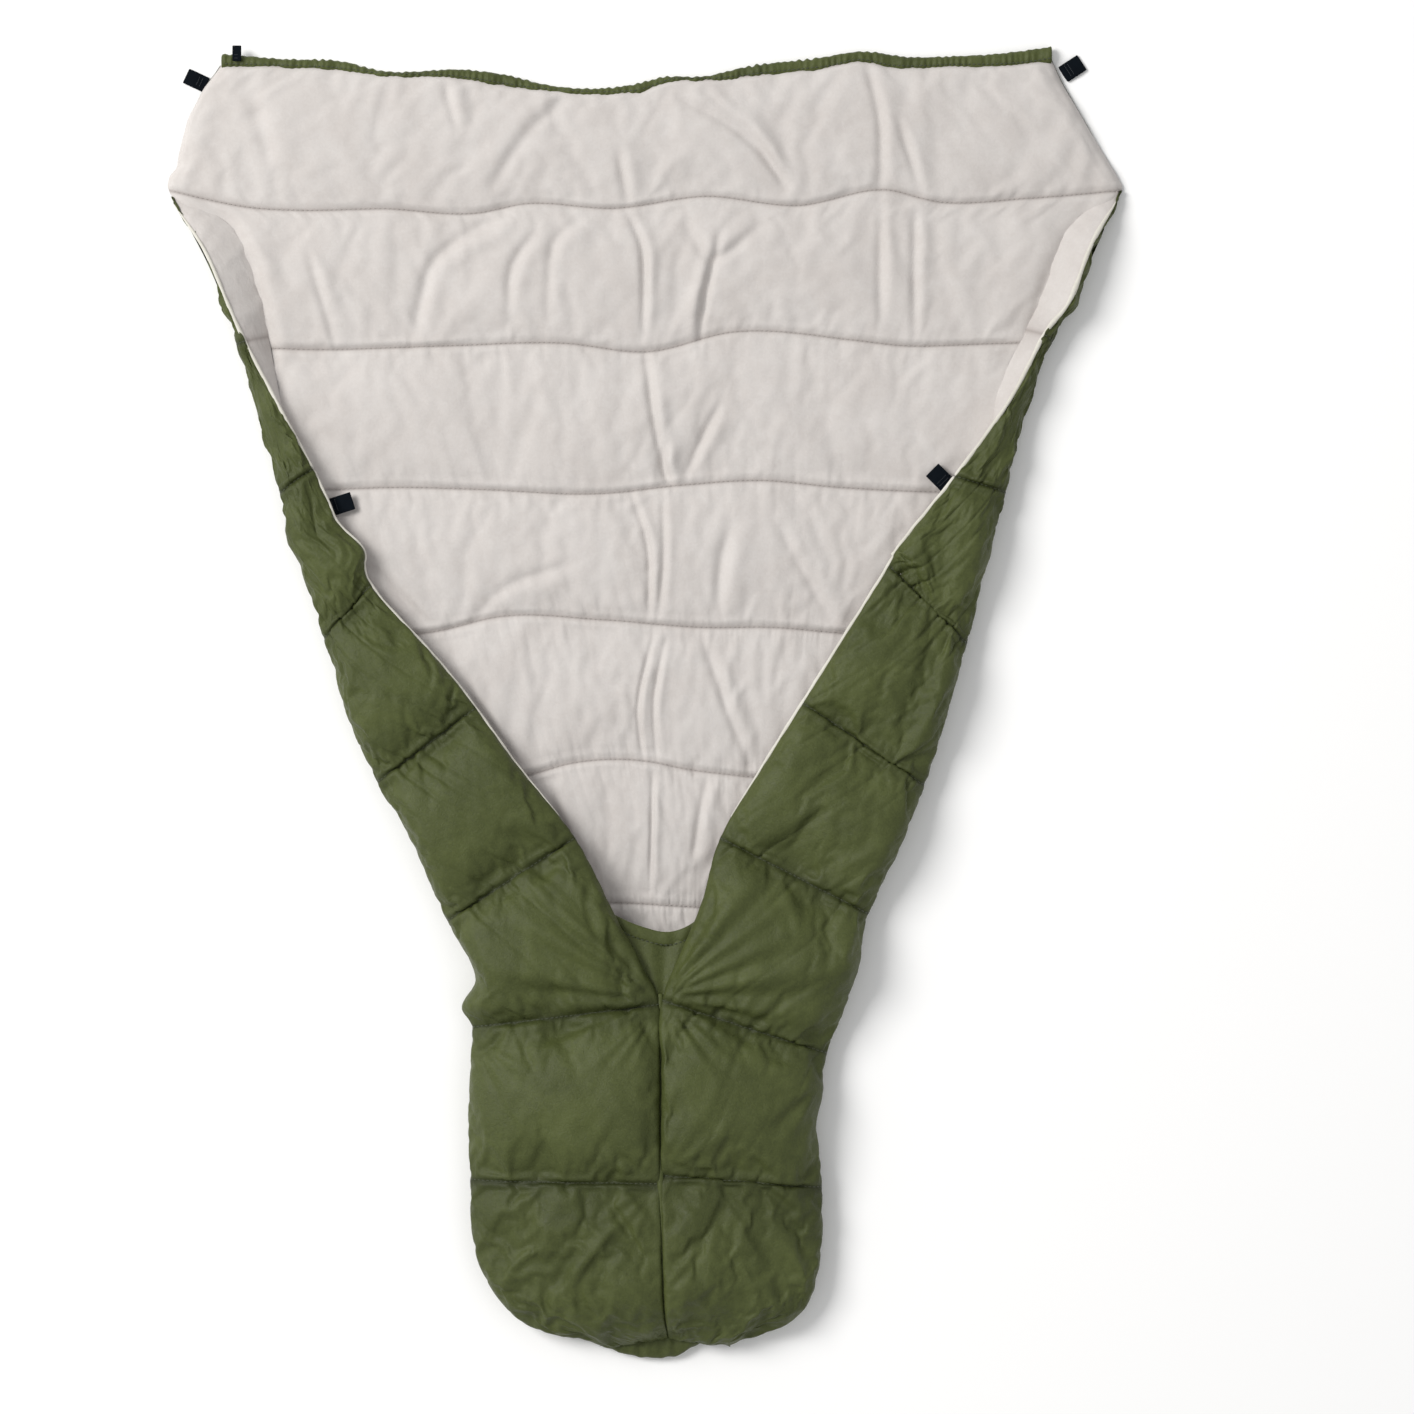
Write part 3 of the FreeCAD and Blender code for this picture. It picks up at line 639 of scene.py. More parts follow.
RIM_VALLEYS = (
    (5, 12, (-640, 728), (-619, 710), (-586, 676), (-568, 634), (-551, 574), (-544, 512), (-530, 440)),
    (5, 12, (653, 735), (640, 712), (612, 670), (580, 600), (560, 530), (548, 480), (520, 390)),
)
HEAD_SEAM = hermite(*zip(*HEAD_LINE))
LINES = [HEAD_SEAM] + [hermite(*zip(*points)) for points in LINING_SEAMS]
EDGE_LEFT, EDGE_RIGHT = lining_side(left, LINING_INSET, 1), lining_side(right, LINING_INSET, 1)


def from_sides(x, y):
    """How far a point of the lining is from its nearer side boundary."""
    return np.minimum(x - EDGE_LEFT(y), EDGE_RIGHT(y) - x)


def lining_grid():
    """The lining before its cloth simulation, and its rows counted in chambers."""
    across = np.linspace(0, 1, LINING_COLUMNS)
    chamber = np.arange((len(LINES) - 1) * ROWS_PER_CHAMBER + 1) / ROWS_PER_CHAMBER
    rows = []
    for v in chamber:
        k = min(int(v), len(LINES) - 2)
        f = v - k
        y = np.full(LINING_COLUMNS, HEAD_Y - CHAMBER_GUESS * v)
        for _ in range(8):
            x = EDGE_LEFT(y) + across * (EDGE_RIGHT(y) - EDGE_LEFT(y))
            y = LINES[k](x) * (1 - f) + LINES[k + 1](x) * f
        crown = (13 + 9 * pillow(v, 0.34)) * (1 - 0.62 * smoothstep((-120 - y) / 190))
        inwards = from_sides(x, y) - rim_margin(y)
        head = smoothstep((y - 700) / 60)
        rim_height = 14 + 17 * smoothstep((520 - y) / 140) - 14 * smoothstep((-120 - y) / 200)
        round_edge = 4 + (crown - 4) * np.sqrt(1 - (1 - np.clip(inwards / ROLL_AXIS, 0, 1)) ** 2)
        inside_roll = rim_height + (crown - rim_height) * smoothstep((inwards - 4) / 50)
        rows.append(np.column_stack([x, y, head * round_edge + (1 - head) * inside_roll]))
    return np.array(rows), chamber


def settle(start, done, swell, folds, half):
    """Keeps a share of the even swelling of a simulated grid, and a share of its folds."""
    lift = (done - start)[:, :, 2]
    broad = smooth(lift, half)
    out = start + (done - start) * folds
    out[:, :, 2] = start[:, :, 2] + swell * broad + folds * (lift - broad)
    return out


def lining_surface():
    """The lining's points with all its folds, its rows counted in chambers, and the rows of its seams."""
    grid, chamber = lining_grid()
    grid[:, :, 2] += 0.5 * noise_field(grid.shape[:2], 3, 2)
    cloth = add_grid("lining_back", grid, True)
    pins = np.zeros(grid.shape[:2])
    pins[::ROWS_PER_CHAMBER] = 1
    pins[:, :1] = pins[:, -1:] = 1
    ruffle(cloth, pins.ravel(), 1.0, 0.06, 13, bend=1.0)
    points = settle(grid, read(cloth.data).reshape(grid.shape) / MM, 0.45, 0.26, 20)
    bpy.data.objects.remove(cloth)
    points = refine(points)
    shape = points.shape[:2]
    chamber = np.interp(np.arange(shape[0]) / 2, np.arange(len(chamber)), chamber)
    seam_rows = [2 * ROWS_PER_CHAMBER * k for k in range(1, len(LINES) - 1)]
    inside = smoothstep(-0.2 + from_sides(points[:, :, 0], points[:, :, 1]) / 90)
    detail = 0.6 * puckers(shape, seam_rows, LINING_GAPS, 55, 85, 5, slant=-0.15, sharp=0.85)
    detail += 0.35 * puckers(shape, seam_rows, LINING_GAPS, 15, 16, 55)
    detail += creases(points, LINING_CREASES)
    points[:, :, 2] += detail * (0.2 + 0.8 * inside) + creases(points, RIM_VALLEYS)
    return points, chamber, seam_rows


# ---------------- covers of the sides
def inner_section(side, i, count):
    """The inner skin's line at row i: from the edge, under the flap, to the crease beside the roll."""
    ox, oy, ex, ey, top, edge, crease = side.data[i]
    puff = pillow(side.chamber[i])
    start, end, normal = np.array([ox, oy]), np.array([ex, ey]), side.normal[i]
    width = np.linalg.norm(end - start)
    foot = foot_share(oy)
    edge = edge - edge_drop(side, i, seam_depth(width, top, foot), width) - 4 - 4 * foot
    low = min(12 + 20 * smoothstep((520 - oy) / 140), 0.5 * top - 3)
    under = smoothstep((width - 50) / 60)
    corner = start + normal * crease
    middle = (end + corner) / 2
    middle_z = (1 - under) * ((edge + low) / 2 + 7) + under * (39 + 2 * puff)
    t = np.linspace(0, 1, 40)[:, None]
    end = end - 1.2 * (end - start) / max(width, 1)
    a, b, c = (np.append(end, edge), np.append(middle, middle_z), np.append(corner, low))
    line = resample((1 - t) ** 2 * a + 2 * t * (1 - t) * b + t**2 * c, count)
    if foot > 0:
        shell = cover_section(side, i, 2 * count)[:count // 2:-1]
        shell = resample(shell[shell[:, 2].argmax() - len(shell):], count)
        room = min(16.0, 0.4 * top)
        shell[:, 2] -= room
        shell[:, :2] += normal * room * np.linspace(0, 1, count)[:, None]
        line = line * (1 - foot) + shell * foot
    return line


def simulate_sheet(name, points, side, pressure, slack, cap, seed):
    """Where a skin's points are after its cloth simulation, held at the seams and all round."""
    rough = points.copy()
    rough[:, :, 2] += 0.4 * noise_field(points.shape[:2], seed, 2)
    obj = add_grid(name, rough, side is left)
    hold = np.zeros(points.shape[:2])
    hold[side.seam_rows] = 1
    hold[0] = hold[-1] = 1
    hold[:, :1] = hold[:, -1:] = 1
    ruffle(obj, hold.ravel(), pressure, slack, cap)
    done = read(obj.data).reshape(points.shape) / MM
    bpy.data.objects.remove(obj)
    return done


FLAP_JOINTS = {"left": ((-249, -374), (-363, -64)), "right": ((293, -357), (390, -42))}
RIM_JOINTS = {"left": ((-509, 330), (-590, 550)), "right": ((503, 330), (570, 550))}


def hinge(obj, side, rim):
    """Bends a piece between the quilt and its flap, near the head for a rim and at the vee for a flap."""
    flap = "flap_" + side.name
    joint = (RIM_JOINTS if rim else FLAP_JOINTS)[side.name]
    start, end = (tuple(value * MM for value in (*point, ROLL_AXIS)) for point in joint)
    bodies = (flap, "quilt") if rim else ("quilt", flap)
    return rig.blend(obj, *bodies, start=start, end=end)


def seam_shade(obj, shade):
    """Keeps how deep in a seam each point lies, for the material, which paints the colour darker there as painted
    shade.
    """
    attribute = obj.data.attributes.new("seam", "FLOAT", "POINT")
    attribute.data.foreach_set("value", np.asarray(shade, np.float32).ravel())


def seam_line(chamber, length, width):
    """1 on a seam, falling to 0 over width millimetres, for rows counted in chambers of that length."""
    away = np.abs(chamber - np.round(chamber)) * length
    return np.exp(-(away / width) ** 2)


def ring_faces(rings, sides):
    """The faces of a closed solid made of rings of points."""
    faces = []
    for i in range(rings - 1):
        for j in range(sides):
            k = (j + 1) % sides
            faces.append((i * sides + j, i * sides + k, (i + 1) * sides + k, (i + 1) * sides + j))
    faces.append(tuple(range(sides))[::-1])
    faces.append(tuple((rings - 1) * sides + j for j in range(sides)))
    return faces


def tube(name, near, far, low, high, sides):
    """A flattened closed roll between two lines in plan, from height low to height high."""
    near, far = np.asarray(near, float), np.asarray(far, float)
    low, high = np.broadcast_to(low, len(near)), np.broadcast_to(high, len(near))
    angle = np.linspace(0, 2 * np.pi, sides, endpoint=False)
    plan = ((near + far) / 2)[:, None] + ((far - near) / 2)[:, None] * np.cos(angle)[None, :, None]
    z = ((low + high) / 2)[:, None] + ((high - low) / 2)[:, None] * np.sin(angle)
    verts = np.concatenate([plan, z[:, :, None]], 2)
    return add_mesh(name, verts.reshape(-1, 3), ring_faces(len(near), sides))


def stitches(name, lines, pitch=7.0, length=4.6, radius=0.75):
    """Separate thread stitches, each a small six-sided spindle, along lines of points."""
    rings = ((0.0, 0.35), (0.2, 1.0), (0.8, 1.0), (1.0, 0.35))
    spindle = ring_faces(len(rings), 6)
    verts, faces = [], []
    for line in lines:
        run = run_along(line)
        for at in np.arange(pitch, run[-1] - pitch, pitch):
            a, b = (np.array([np.interp(q, run, line[:, k]) for k in range(3)]) for q in (at, at + length))
            along = (b - a) / max(np.linalg.norm(b - a), 1e-6)
            across = np.cross(along, [0, 0, 1.0])
            across /= max(np.linalg.norm(across), 1e-6)
            up = np.cross(across, along)
            faces += [tuple(len(verts) + k for k in face) for face in spindle]
            for place, size in rings:
                centre = a + (b - a) * place
                for turn in np.arange(6) * np.pi / 3:
                    verts.append(centre + radius * size * (across * math.cos(turn) + up * math.sin(turn)))
    return add_mesh(name, verts, faces)


# ---------------- materials
def link(tree, a, b):
    tree.links.new(a, b)


def node(tree, kind, **inputs):
    made = tree.nodes.new(kind)
    for key, value in inputs.items():
        made.inputs[key.replace("_", " ")].default_value = value
    return made


def math_node(tree, operation, a, b):
    made = tree.nodes.new("ShaderNodeMath")
    made.operation = operation
    for k, value in enumerate((a, b)):
        if isinstance(value, (int, float)):
            made.inputs[k].default_value = value
        else:
            link(tree, value, made.inputs[k])
    return made.outputs[0]


def weave_bump(tree, place, scale, depth):
    """The bump of a plain weave, as two sets of threads across each other."""
    threads = None
    for direction in ("X", "Y"):
        wave = node(tree, "ShaderNodeTexWave", Scale=scale, Distortion=0.6, Detail=1.0)
        wave.bands_direction = direction
        link(tree, place, wave.inputs["Vector"])
        ridges = wave.outputs["Fac"]
        threads = ridges if threads is None else math_node(tree, "MULTIPLY", threads, ridges)
    bump = node(tree, "ShaderNodeBump", Strength=1.0, Distance=depth * MM)
    link(tree, threads, bump.inputs["Height"])
    return bump


def cloth_material(name, pale, deep, seam, rough, sheen, weave, weave_depth, crinkle, crinkle_depth,
                   specular=0.5):
    """Woven cloth: patchy colour, seams painted darker with painted shade on and beside them, a plain weave and fine
    crinkles as bump.
    """
    material = bpy.data.materials.new(name)
    material.use_nodes = True
    tree = material.node_tree
    tree.nodes.clear()
    output = tree.nodes.new("ShaderNodeOutputMaterial")
    shader = node(tree, "ShaderNodeBsdfPrincipled", Sheen_Weight=sheen, Sheen_Roughness=0.45,
                  Specular_IOR_Level=specular)
    link(tree, shader.outputs[0], output.inputs[0])
    place = tree.nodes.new("ShaderNodeTexCoord").outputs["Object"]
    large = node(tree, "ShaderNodeTexNoise", Scale=14.0, Detail=4.0, Roughness=0.55, Distortion=0.6)
    small = node(tree, "ShaderNodeTexNoise", Scale=crinkle, Detail=5.0, Roughness=0.6, Distortion=1.2)
    for texture in (large, small):
        link(tree, place, texture.inputs["Vector"])
    mixed = math_node(tree, "ADD", math_node(tree, "MULTIPLY", large.outputs[0], 0.55),
                      math_node(tree, "MULTIPLY", small.outputs[0], 0.45))
    ramp = tree.nodes.new("ShaderNodeValToRGB")
    for element, position, colour in zip(ramp.color_ramp.elements, (0.36, 0.62), (deep, pale)):
        element.position = position
        element.color = (*colour, 1)
    link(tree, mixed, ramp.inputs[0])
    dark = tree.nodes.new("ShaderNodeMix")
    dark.data_type = "RGBA"
    # The seam attribute mixes in the seam colour: a darker seam line and painted shade beside the seams.
    attribute = tree.nodes.new("ShaderNodeAttribute")
    attribute.attribute_name = "seam"
    link(tree, attribute.outputs["Fac"], dark.inputs["Factor"])
    link(tree, ramp.outputs[0], dark.inputs[6])
    dark.inputs[7].default_value = (*seam, 1)
    link(tree, dark.outputs[2], shader.inputs["Base Color"])
    gloss = node(tree, "ShaderNodeMapRange", From_Min=0.3, From_Max=0.7,
                 To_Min=rough - 0.07, To_Max=rough + 0.07)
    link(tree, small.outputs[0], gloss.inputs["Value"])
    link(tree, gloss.outputs[0], shader.inputs["Roughness"])
    bump = node(tree, "ShaderNodeBump", Strength=1.0, Distance=crinkle_depth * MM)
    link(tree, small.outputs[0], bump.inputs["Height"])
    woven = weave_bump(tree, place, weave, weave_depth)
    link(tree, bump.outputs[0], woven.inputs["Normal"])
    link(tree, woven.outputs[0], shader.inputs["Normal"])
    return material


def thread_material(name, pale, deep, rough):
    return cloth_material(name, pale, deep, seam=deep, rough=rough, sheen=0.2, weave=900.0, weave_depth=0.1,
                          crinkle=600.0, crinkle_depth=0.1)


# Each seam colour is the darkest tone of the painted shade on and beside the seams.
SHELL = cloth_material(
    "shell_cloth", pale=(0.078, 0.093, 0.029), deep=(0.052, 0.063, 0.019), seam=(0.018, 0.022, 0.007),
    rough=0.44, sheen=0.0, weave=330.0, weave_depth=0.10, crinkle=170.0, crinkle_depth=0.9, specular=0.19)
LINING = cloth_material(
    "lining_cloth", pale=(0.585, 0.555, 0.535), deep=(0.535, 0.50, 0.478), seam=(0.30, 0.265, 0.25),
    rough=0.82, sheen=0.15, weave=300.0, weave_depth=0.08, crinkle=120.0, crinkle_depth=0.35, specular=0.25)
EDGE = cloth_material(
    "edge_cloth", pale=(0.66, 0.64, 0.58), deep=(0.56, 0.54, 0.48), seam=(0.36, 0.33, 0.28),
    rough=0.80, sheen=0.25, weave=300.0, weave_depth=0.08, crinkle=160.0, crinkle_depth=0.5, specular=0.25)
WEBBING = cloth_material(
    "webbing_tape", pale=(0.0045, 0.0075, 0.0115), deep=(0.0025, 0.004, 0.0065), seam=(0.002, 0.003, 0.004),
    rough=0.70, sheen=0.0, weave=420.0, weave_depth=0.35, crinkle=240.0, crinkle_depth=0.3, specular=0.06)
LINING_THREAD = thread_material("lining_thread", (0.42, 0.39, 0.37), (0.33, 0.30, 0.28), rough=0.6)
SHELL_THREAD = thread_material("shell_thread", (0.045, 0.056, 0.022), (0.030, 0.038, 0.015), rough=0.5)
TAPE_THREAD = thread_material("tape_thread", (0.030, 0.036, 0.044), (0.018, 0.022, 0.028), rough=0.5)


def finish_piece(obj, material, slot, body=None, levels=1, replaced=()):
    obj.data.materials.append(material)
    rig.slot(obj, slot)
    if replaced:
        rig.replaces(obj, *replaced)
    if levels:
        modifier = obj.modifiers.new("Subdivision", "SUBSURF")
        modifier.levels = modifier.render_levels = levels
    if body:
        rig.ride(obj, body)
    return obj


# ---------------- back: lining, seams, outer shell
lining_points, lining_chamber, lining_seam_rows = lining_surface()
lining = add_grid("lining_back", lining_points, True)
# Each lining seam is painted as a narrow darker line: partly the seam's own dark line, partly painted shade in its
# groove.
lining_shade = 0.8 * seam_line(lining_chamber, LINING_CHAMBER, SEAM_WIDTH)
seam_shade(lining, np.repeat(lining_shade[:, None], lining_points.shape[1], 1))
finish_piece(lining, LINING, "lining_fabric", "quilt", 0,
             replaced=["back_lining"] + [f"back_fill_{k}" for k in range(1, 10)])
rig.padded(lining, fill=0.5)
seam_lines = [lining_points[row] + [0, 0, 0.3] for row in lining_seam_rows]
finish_piece(stitches("lining_stitches", seam_lines), LINING_THREAD, "lining_fabric", "quilt", 0)


def under_inset(y):
    """How much narrower the shell below is at its ends than at its middle."""
    return 10.0 * smoothstep((y - 680) / 40) + 8.0 * smoothstep((-885 - y) / 30)


def shell_under():
    """The shell below the quilt: flat on the ground, turned up inside the rolled sides and the foot end."""
    x_left, x_right = lining_side(left, UNDER_INSET), lining_side(right, UNDER_INSET)
    seam_y = np.array([-905, -695, -480, -305, -105, 110, 308, 515, 719, HEAD_Y], float)
    angles = np.radians(np.linspace(25, 90, 8))
    spread = np.linspace(0, 1, 42)[1:]
    foot_turn = 26
    head_start = 690.0
    levels = [(y, 0.0) for y in np.linspace(-930, head_start, 205)]
    levels += [(head_start, lift) for lift in np.linspace(0, 1, 28)[1:]]
    rows = []
    for base, lift in levels:
        level = base + lift * (HEAD_Y - base)
        middle = 0.5 * (x_left(base) + x_right(base))
        row = []
        for boundary, sign in ((x_left, 1), (x_right, -1)):
            half = abs(middle - boundary(level)) - under_inset(level)
            radius = min(33 - 24 * smoothstep((level - 630) / 60), 0.5 * half)
            d = np.concatenate([radius * (1 - np.cos(angles)), radius + (half - radius) * spread])
            z = np.concatenate([radius * (1 - np.sin(angles)), np.zeros(len(spread))])
            x = boundary(level) + sign * (d + under_inset(level))
            row.append(np.column_stack([x, np.full(len(x), level), z]))
        line = np.vstack([row[0], row[1][-2::-1]])
        if lift:
            line[:, 1] = base + lift * (HEAD_SEAM(line[:, 0]) - base)
            line[:, 0] = np.clip(line[:, 0], x_left(line[:, 1]), x_right(line[:, 1]))
        bottom = 3.0 * (1 - pillow(np.interp(line[:, 1], seam_y, np.arange(len(seam_y)))))
        end = line[:, 1] - FOOT_END
        arc = np.sqrt(np.maximum(0, foot_turn**2 - (foot_turn - np.clip(end, 0, foot_turn)) ** 2))
        turned = np.where(end < foot_turn, foot_turn - arc, 0)
        line[:, 2] = np.maximum(np.maximum(line[:, 2], bottom), np.minimum(turned, 17)) + 0.7
        rows.append(line)
    return np.array(rows)


under = add_grid("shell_under", shell_under(), True)
finish_piece(under, SHELL, "shell_fabric", "quilt", replaced=["back_shell"])
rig.sheet(under, flat=(1.39, 1.87), held="laid", rests_on=["floor"], area=1.78)

# ---------------- sides: covers, inner skins, edge rolls
VEE_FANS = {
    "left": (((24, -430), 24, 330, 2.2), ((24, -692), 15, 230, 1.2), ((-254, -480), 15, 150, 0.7),
             ((-40, -925), 13, 190, 1.0)),
    "right": (((25, -424), 22, 330, 2.2), ((24, -680), 13, 230, 1.0), ((262, -540), 14, 170, 1.1),
              ((55, -930), 12, 130, 0.8)),
}


def cover_details(side, points, chamber, seed):
    """Gathers along the seams, slanted folds, and fans out of the vee: the new points."""
    rows = [2 * row for row in side.seam_rows]
    shape = points.shape[:2]
    width = np.linalg.norm(points[:, -1, :2] - points[:, 0, :2], axis=1)
    full = smoothstep((width - 30) / 90)[:, None]
    below = smoothstep(chamber - 5.95)[:, None]
    lift = 0.9 * puckers(shape, rows, COVER_GAPS, 34, 30, seed, slant=-0.5, sharp=0.7)
    lift += 2.6 * puckers(shape, rows, COVER_GAPS, 90, 150, seed + 20, slant=-0.6, sharp=0.9, thin=0.17)
    lift += 0.45 * puckers(shape, rows, COVER_GAPS, 14, 9, seed + 40, slant=-0.3)
    lift = lift * (0.3 + 0.7 * full) * (1 - 0.6 * below)
    for centre, folds, reach, depth in VEE_FANS[side.name]:
        spread = depth * fan(points, centre, folds, reach, seed + folds)
        lift = lift + spread * (1 - np.minimum(3 * below, 1) if centre[1] > -460 else 1)
    end = smoothstep((-840 - points[:, :, 1]) / 60)
    ripple = np.sin(points[:, :, 0] / 4.6 + 2 * np.sin(points[:, :, 0] / 31))
    lift = lift * (1 - 0.5 * end) + 0.6 * end * ripple
    column = np.arange(shape[1])
    hold = smoothstep(np.minimum(column / 5.0, (column[::-1] - 3) / 8.0))
    hold = hold * (0.35 + 0.65 * smoothstep((column - 8) / 18))
    return points + grid_normals(points, side.sign) * (lift * hold)[:, :, None]


def side_surfaces(side, seed):
    """A side's outer and inner skin with all their folds, and their rows counted in chambers."""
    outer = np.array([cover_section(side, i, COVER_COLUMNS) for i in range(len(side.data))])
    inner = np.array([inner_section(side, i, INNER_COLUMNS) for i in range(len(side.data))])
    column = np.arange(COVER_COLUMNS)
    root = 0.3 + 0.7 * smoothstep((column - 3) / 9.0)
    free = 0.12 + 0.88 * np.minimum(smoothstep(column[::-1] / 8.0), root)
    puffed = simulate_sheet("outer", outer, side, 1.5, 0.06, 11, seed)
    outer = outer + (puffed - outer) * free[:, None]
    calm = smoothstep((side.data[:, 1] - 250) / 150)[:, None, None]
    puffed = simulate_sheet("inner", inner, side, 0.5, 0.04, 5, seed + 1)
    inner = inner + (puffed - inner) * (1 - 0.75 * calm)
    outer, inner = refine(outer), refine(inner)
    chamber = np.interp(np.arange(len(outer)) / 2, np.arange(len(side.chamber)), side.chamber)
    return cover_details(side, outer, chamber, seed), inner, chamber


def edge_roll(name, side, rim, edge, seed):
    """The turned lining edge along a cover's free edge, thin where it starts at the head or runs out."""
    stop = len(edge) if rim else int(np.argmax(edge[:, 1] < -170))
    ridge = edge[:stop:2]
    step = np.arange(len(ridge))
    way = np.gradient(ridge[:, :2], axis=0)
    way = np.stack([-way[:, 1], way[:, 0]], 1) * side.sign / np.hypot(*way.T)[:, None]
    taper = smoothstep(step / 10.0) if rim else smoothstep((len(ridge) - step) / 20.0)
    calm = smoothstep(np.minimum(step, step[::-1]) / 9.0)
    swell = 0.9 + 0.1 * hills(len(ridge), len(ridge) * ROW_GAP, seed, 60) * calm
    swell = swell * (0.25 + 0.75 * taper)
    reach, sink = (swell * 3.8, 0.4) if side is right else (swell * 2.6, 1.2)
    near = ridge[:, :2] - way * (3.5 * swell)[:, None]
    far = ridge[:, :2] + way * reach[:, None]
    return tube(name, near, far, ridge[:, 2] - 7 * swell - sink, ridge[:, 2] - sink, 12)


def side_nodes(name, rim):
    """The CAD nodes that a side's cover, inner skin and edge roll stand for."""
    if rim:
        return [f"upper_edge_fill_{name}"], [], []
    cover = [f"{kind}_{name}" for kind in ("flap_shell", "flap_fold_fill", "gore_fill", "gore_shell",
                                           "foot_shell", "foot_side_fill")]
    cover += [f"foot_top_fill_{name}_{k}" for k in (1, 2)] + [f"flap_fill_{name}_{k}" for k in (1, 2, 3)]
    return cover, [f"flap_lining_{name}", f"foot_lining_{name}", f"fold_core_{name}"], [f"flap_edge_{name}"]


def build_side(side, seed):
    """The rim at the head and then the flap: cover, inner skin, edge roll and stitches of each."""
    name = side.name
    outer, inner, chamber = side_surfaces(side, seed)
    # Painted shade on the covers: a narrow darker line on each seam, partly painted shade in its groove, and a wider
    # painted shade beside it.
    shade = (0.55 * seam_line(chamber, COVER_CHAMBER, SEAM_WIDTH)
             + 0.28 * seam_line(chamber, COVER_CHAMBER, SEAM_SHADOW))
    split, last = 2 * side.seam_rows[2], len(outer) - 1
    for rim, first, stop in ((True, 0, split), (False, split, last)):
        kind = "rim" if rim else "flap"
        cover_nodes, skin_nodes, edge_nodes = side_nodes(name, rim)
        pieces = []
        for title, points, end in (("cover", outer, stop), ("lining_skin", inner, stop if rim else stop - 8)):
            piece = add_grid(f"{kind}_{title}_{name}", points[first:end + 1], side is left)
            seam_shade(piece, np.repeat(shade[first:end + 1, None], points.shape[1], 1))
            pieces.append(piece)
        cover, skin = pieces
        finish_piece(cover, SHELL, "shell_fabric", levels=0, replaced=cover_nodes)
        finish_piece(skin, LINING, "lining_fabric", levels=0, replaced=skin_nodes)
        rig.padded(cover, fill=0.6)
        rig.padded(skin, fill=0.4)
        edge = refine(side.data[:, 2:4], 0)[first:stop + 1]
        edge = np.column_stack([edge, outer[first:stop + 1, -1, 2] + 4.5])
        roll = edge_roll(f"{kind}_edge_roll_{name}", side, rim, edge, seed)
        finish_piece(roll, EDGE, "edge_fabric", replaced=edge_nodes)
        seams = [2 * row for row in side.seam_rows if first <= 2 * row < stop and row > 0]
        thread = stitches(f"{kind}_stitches_{name}", [outer[row, 6:] + [0, 0, 0.2] for row in seams])
        finish_piece(thread, SHELL_THREAD, "shell_fabric", levels=0)
        for piece in (cover, skin, roll, thread):
            hinge(piece, side, rim)


build_side(left, 11)
build_side(right, 23)


# ---------------- head hem, foot hem, gusset, centre seam
def shell_piece(obj, nodes):
    return finish_piece(obj, SHELL, "shell_fabric", "quilt", replaced=nodes)


def shell_stitches(name, line):
    finish_piece(stitches(name, [line]), SHELL_THREAD, "shell_fabric", "quilt", 0)


def head_hem():
    """The turned hem of shell cloth along the head end, with small pleats."""
    start, end = -615, 591
    x = np.linspace(start, end, 430)
    length = end - start
    pleat = 0.9 * hills(len(x), length, 4, 44) + 0.9 * hills(len(x), length, 14, 13)
    near = np.column_stack([x, HEAD_SEAM(x) - 6])
    far = np.column_stack([x, hermite(*zip(*HEAD_TOP))(x) + 0.8 * hills(len(x), length, 15, 17)])
    hem = tube("head_hem_band", near, far, 1.0, 16.5 + pleat, 16)
    shell_piece(hem, ["head_hem"])
    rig.padded(hem, fill=0.3)
    shell_stitches("head_hem_stitches", np.column_stack([x, HEAD_SEAM(x) + 1, 16.2 + 0.9 * pleat]))


def foot_hem():
    """The gathered hem that shows below the foot end."""
    near_line = hermite((-104, -40, 22, 66, 104), (-912, -912, -908, -910, -912))
    far_line = hermite((-104, -84, -62, -27, 28, 50, 68, 104),
                       (-919, -928, -936, -948, -953, -949, -938, -920))
    x = np.linspace(-104, 104, 104)
    pleat = np.sin(x / 4.3) + 0.6 * np.sin(x / 2.6 + 1)
    near, far = np.column_stack([x, near_line(x)]), np.column_stack([x, far_line(x) + 0.8 * pleat])
    height = 21 - 8 * smoothstep((np.abs(x) - 70) / 34)
    hem = tube("foot_hem_band", near, far, 3.0 + 0.6 * pleat, height + 1.5 * pleat, 16)
    shell_piece(hem, ["foot_end_hem", "foot_end_fill"])


def vee_gusset():
    """The triangle of shell cloth across the bottom of the vee, gathered at its hem."""
    top_line = hermite((-60, -41, -9, 44, 74, 100), (-300, -310, -324, -332, -317, -290))
    across, down = np.meshgrid(np.linspace(0, 1, 30), np.linspace(0, 1, 26))
    top_x = -54 + 146 * across
    end_x = 10 + 28 * across
    x = top_x * (1 - down) + end_x * down
    y = top_line(top_x) * (1 - down) - 446 * down
    fold = 2.2 * np.sin(across * 19) * (1 - down) ** 0.5 + 1.5 * np.sin(across * 7 + 1)
    points = np.stack([x, y, 47 + 15 * down + fold * np.sin(np.pi * across)], 2)
    shell_piece(add_grid("vee_gusset_cloth", points, True), ["vee_gusset"])
    x = np.linspace(-56, 96, 60)
    near, far = np.column_stack([x, top_line(x) + 1]), np.column_stack([x, top_line(x) - 19])
    hem = tube("gusset_hem_band", near, far, 46.0, 51 + 0.5 * hills(len(x), 150, 8, 30), 16)
    shell_piece(hem, ["gusset_hem"])
    shell_stitches("gusset_stitches", np.column_stack([x, top_line(x) - 18, np.full(len(x), 51.0)]))


def edge_line(side, y, column):
    """One column of a side's stations where its edge reaches y."""
    order = np.argsort(side.data[:, 3])
    return np.interp(y, side.data[order, 3], side.data[order, column])


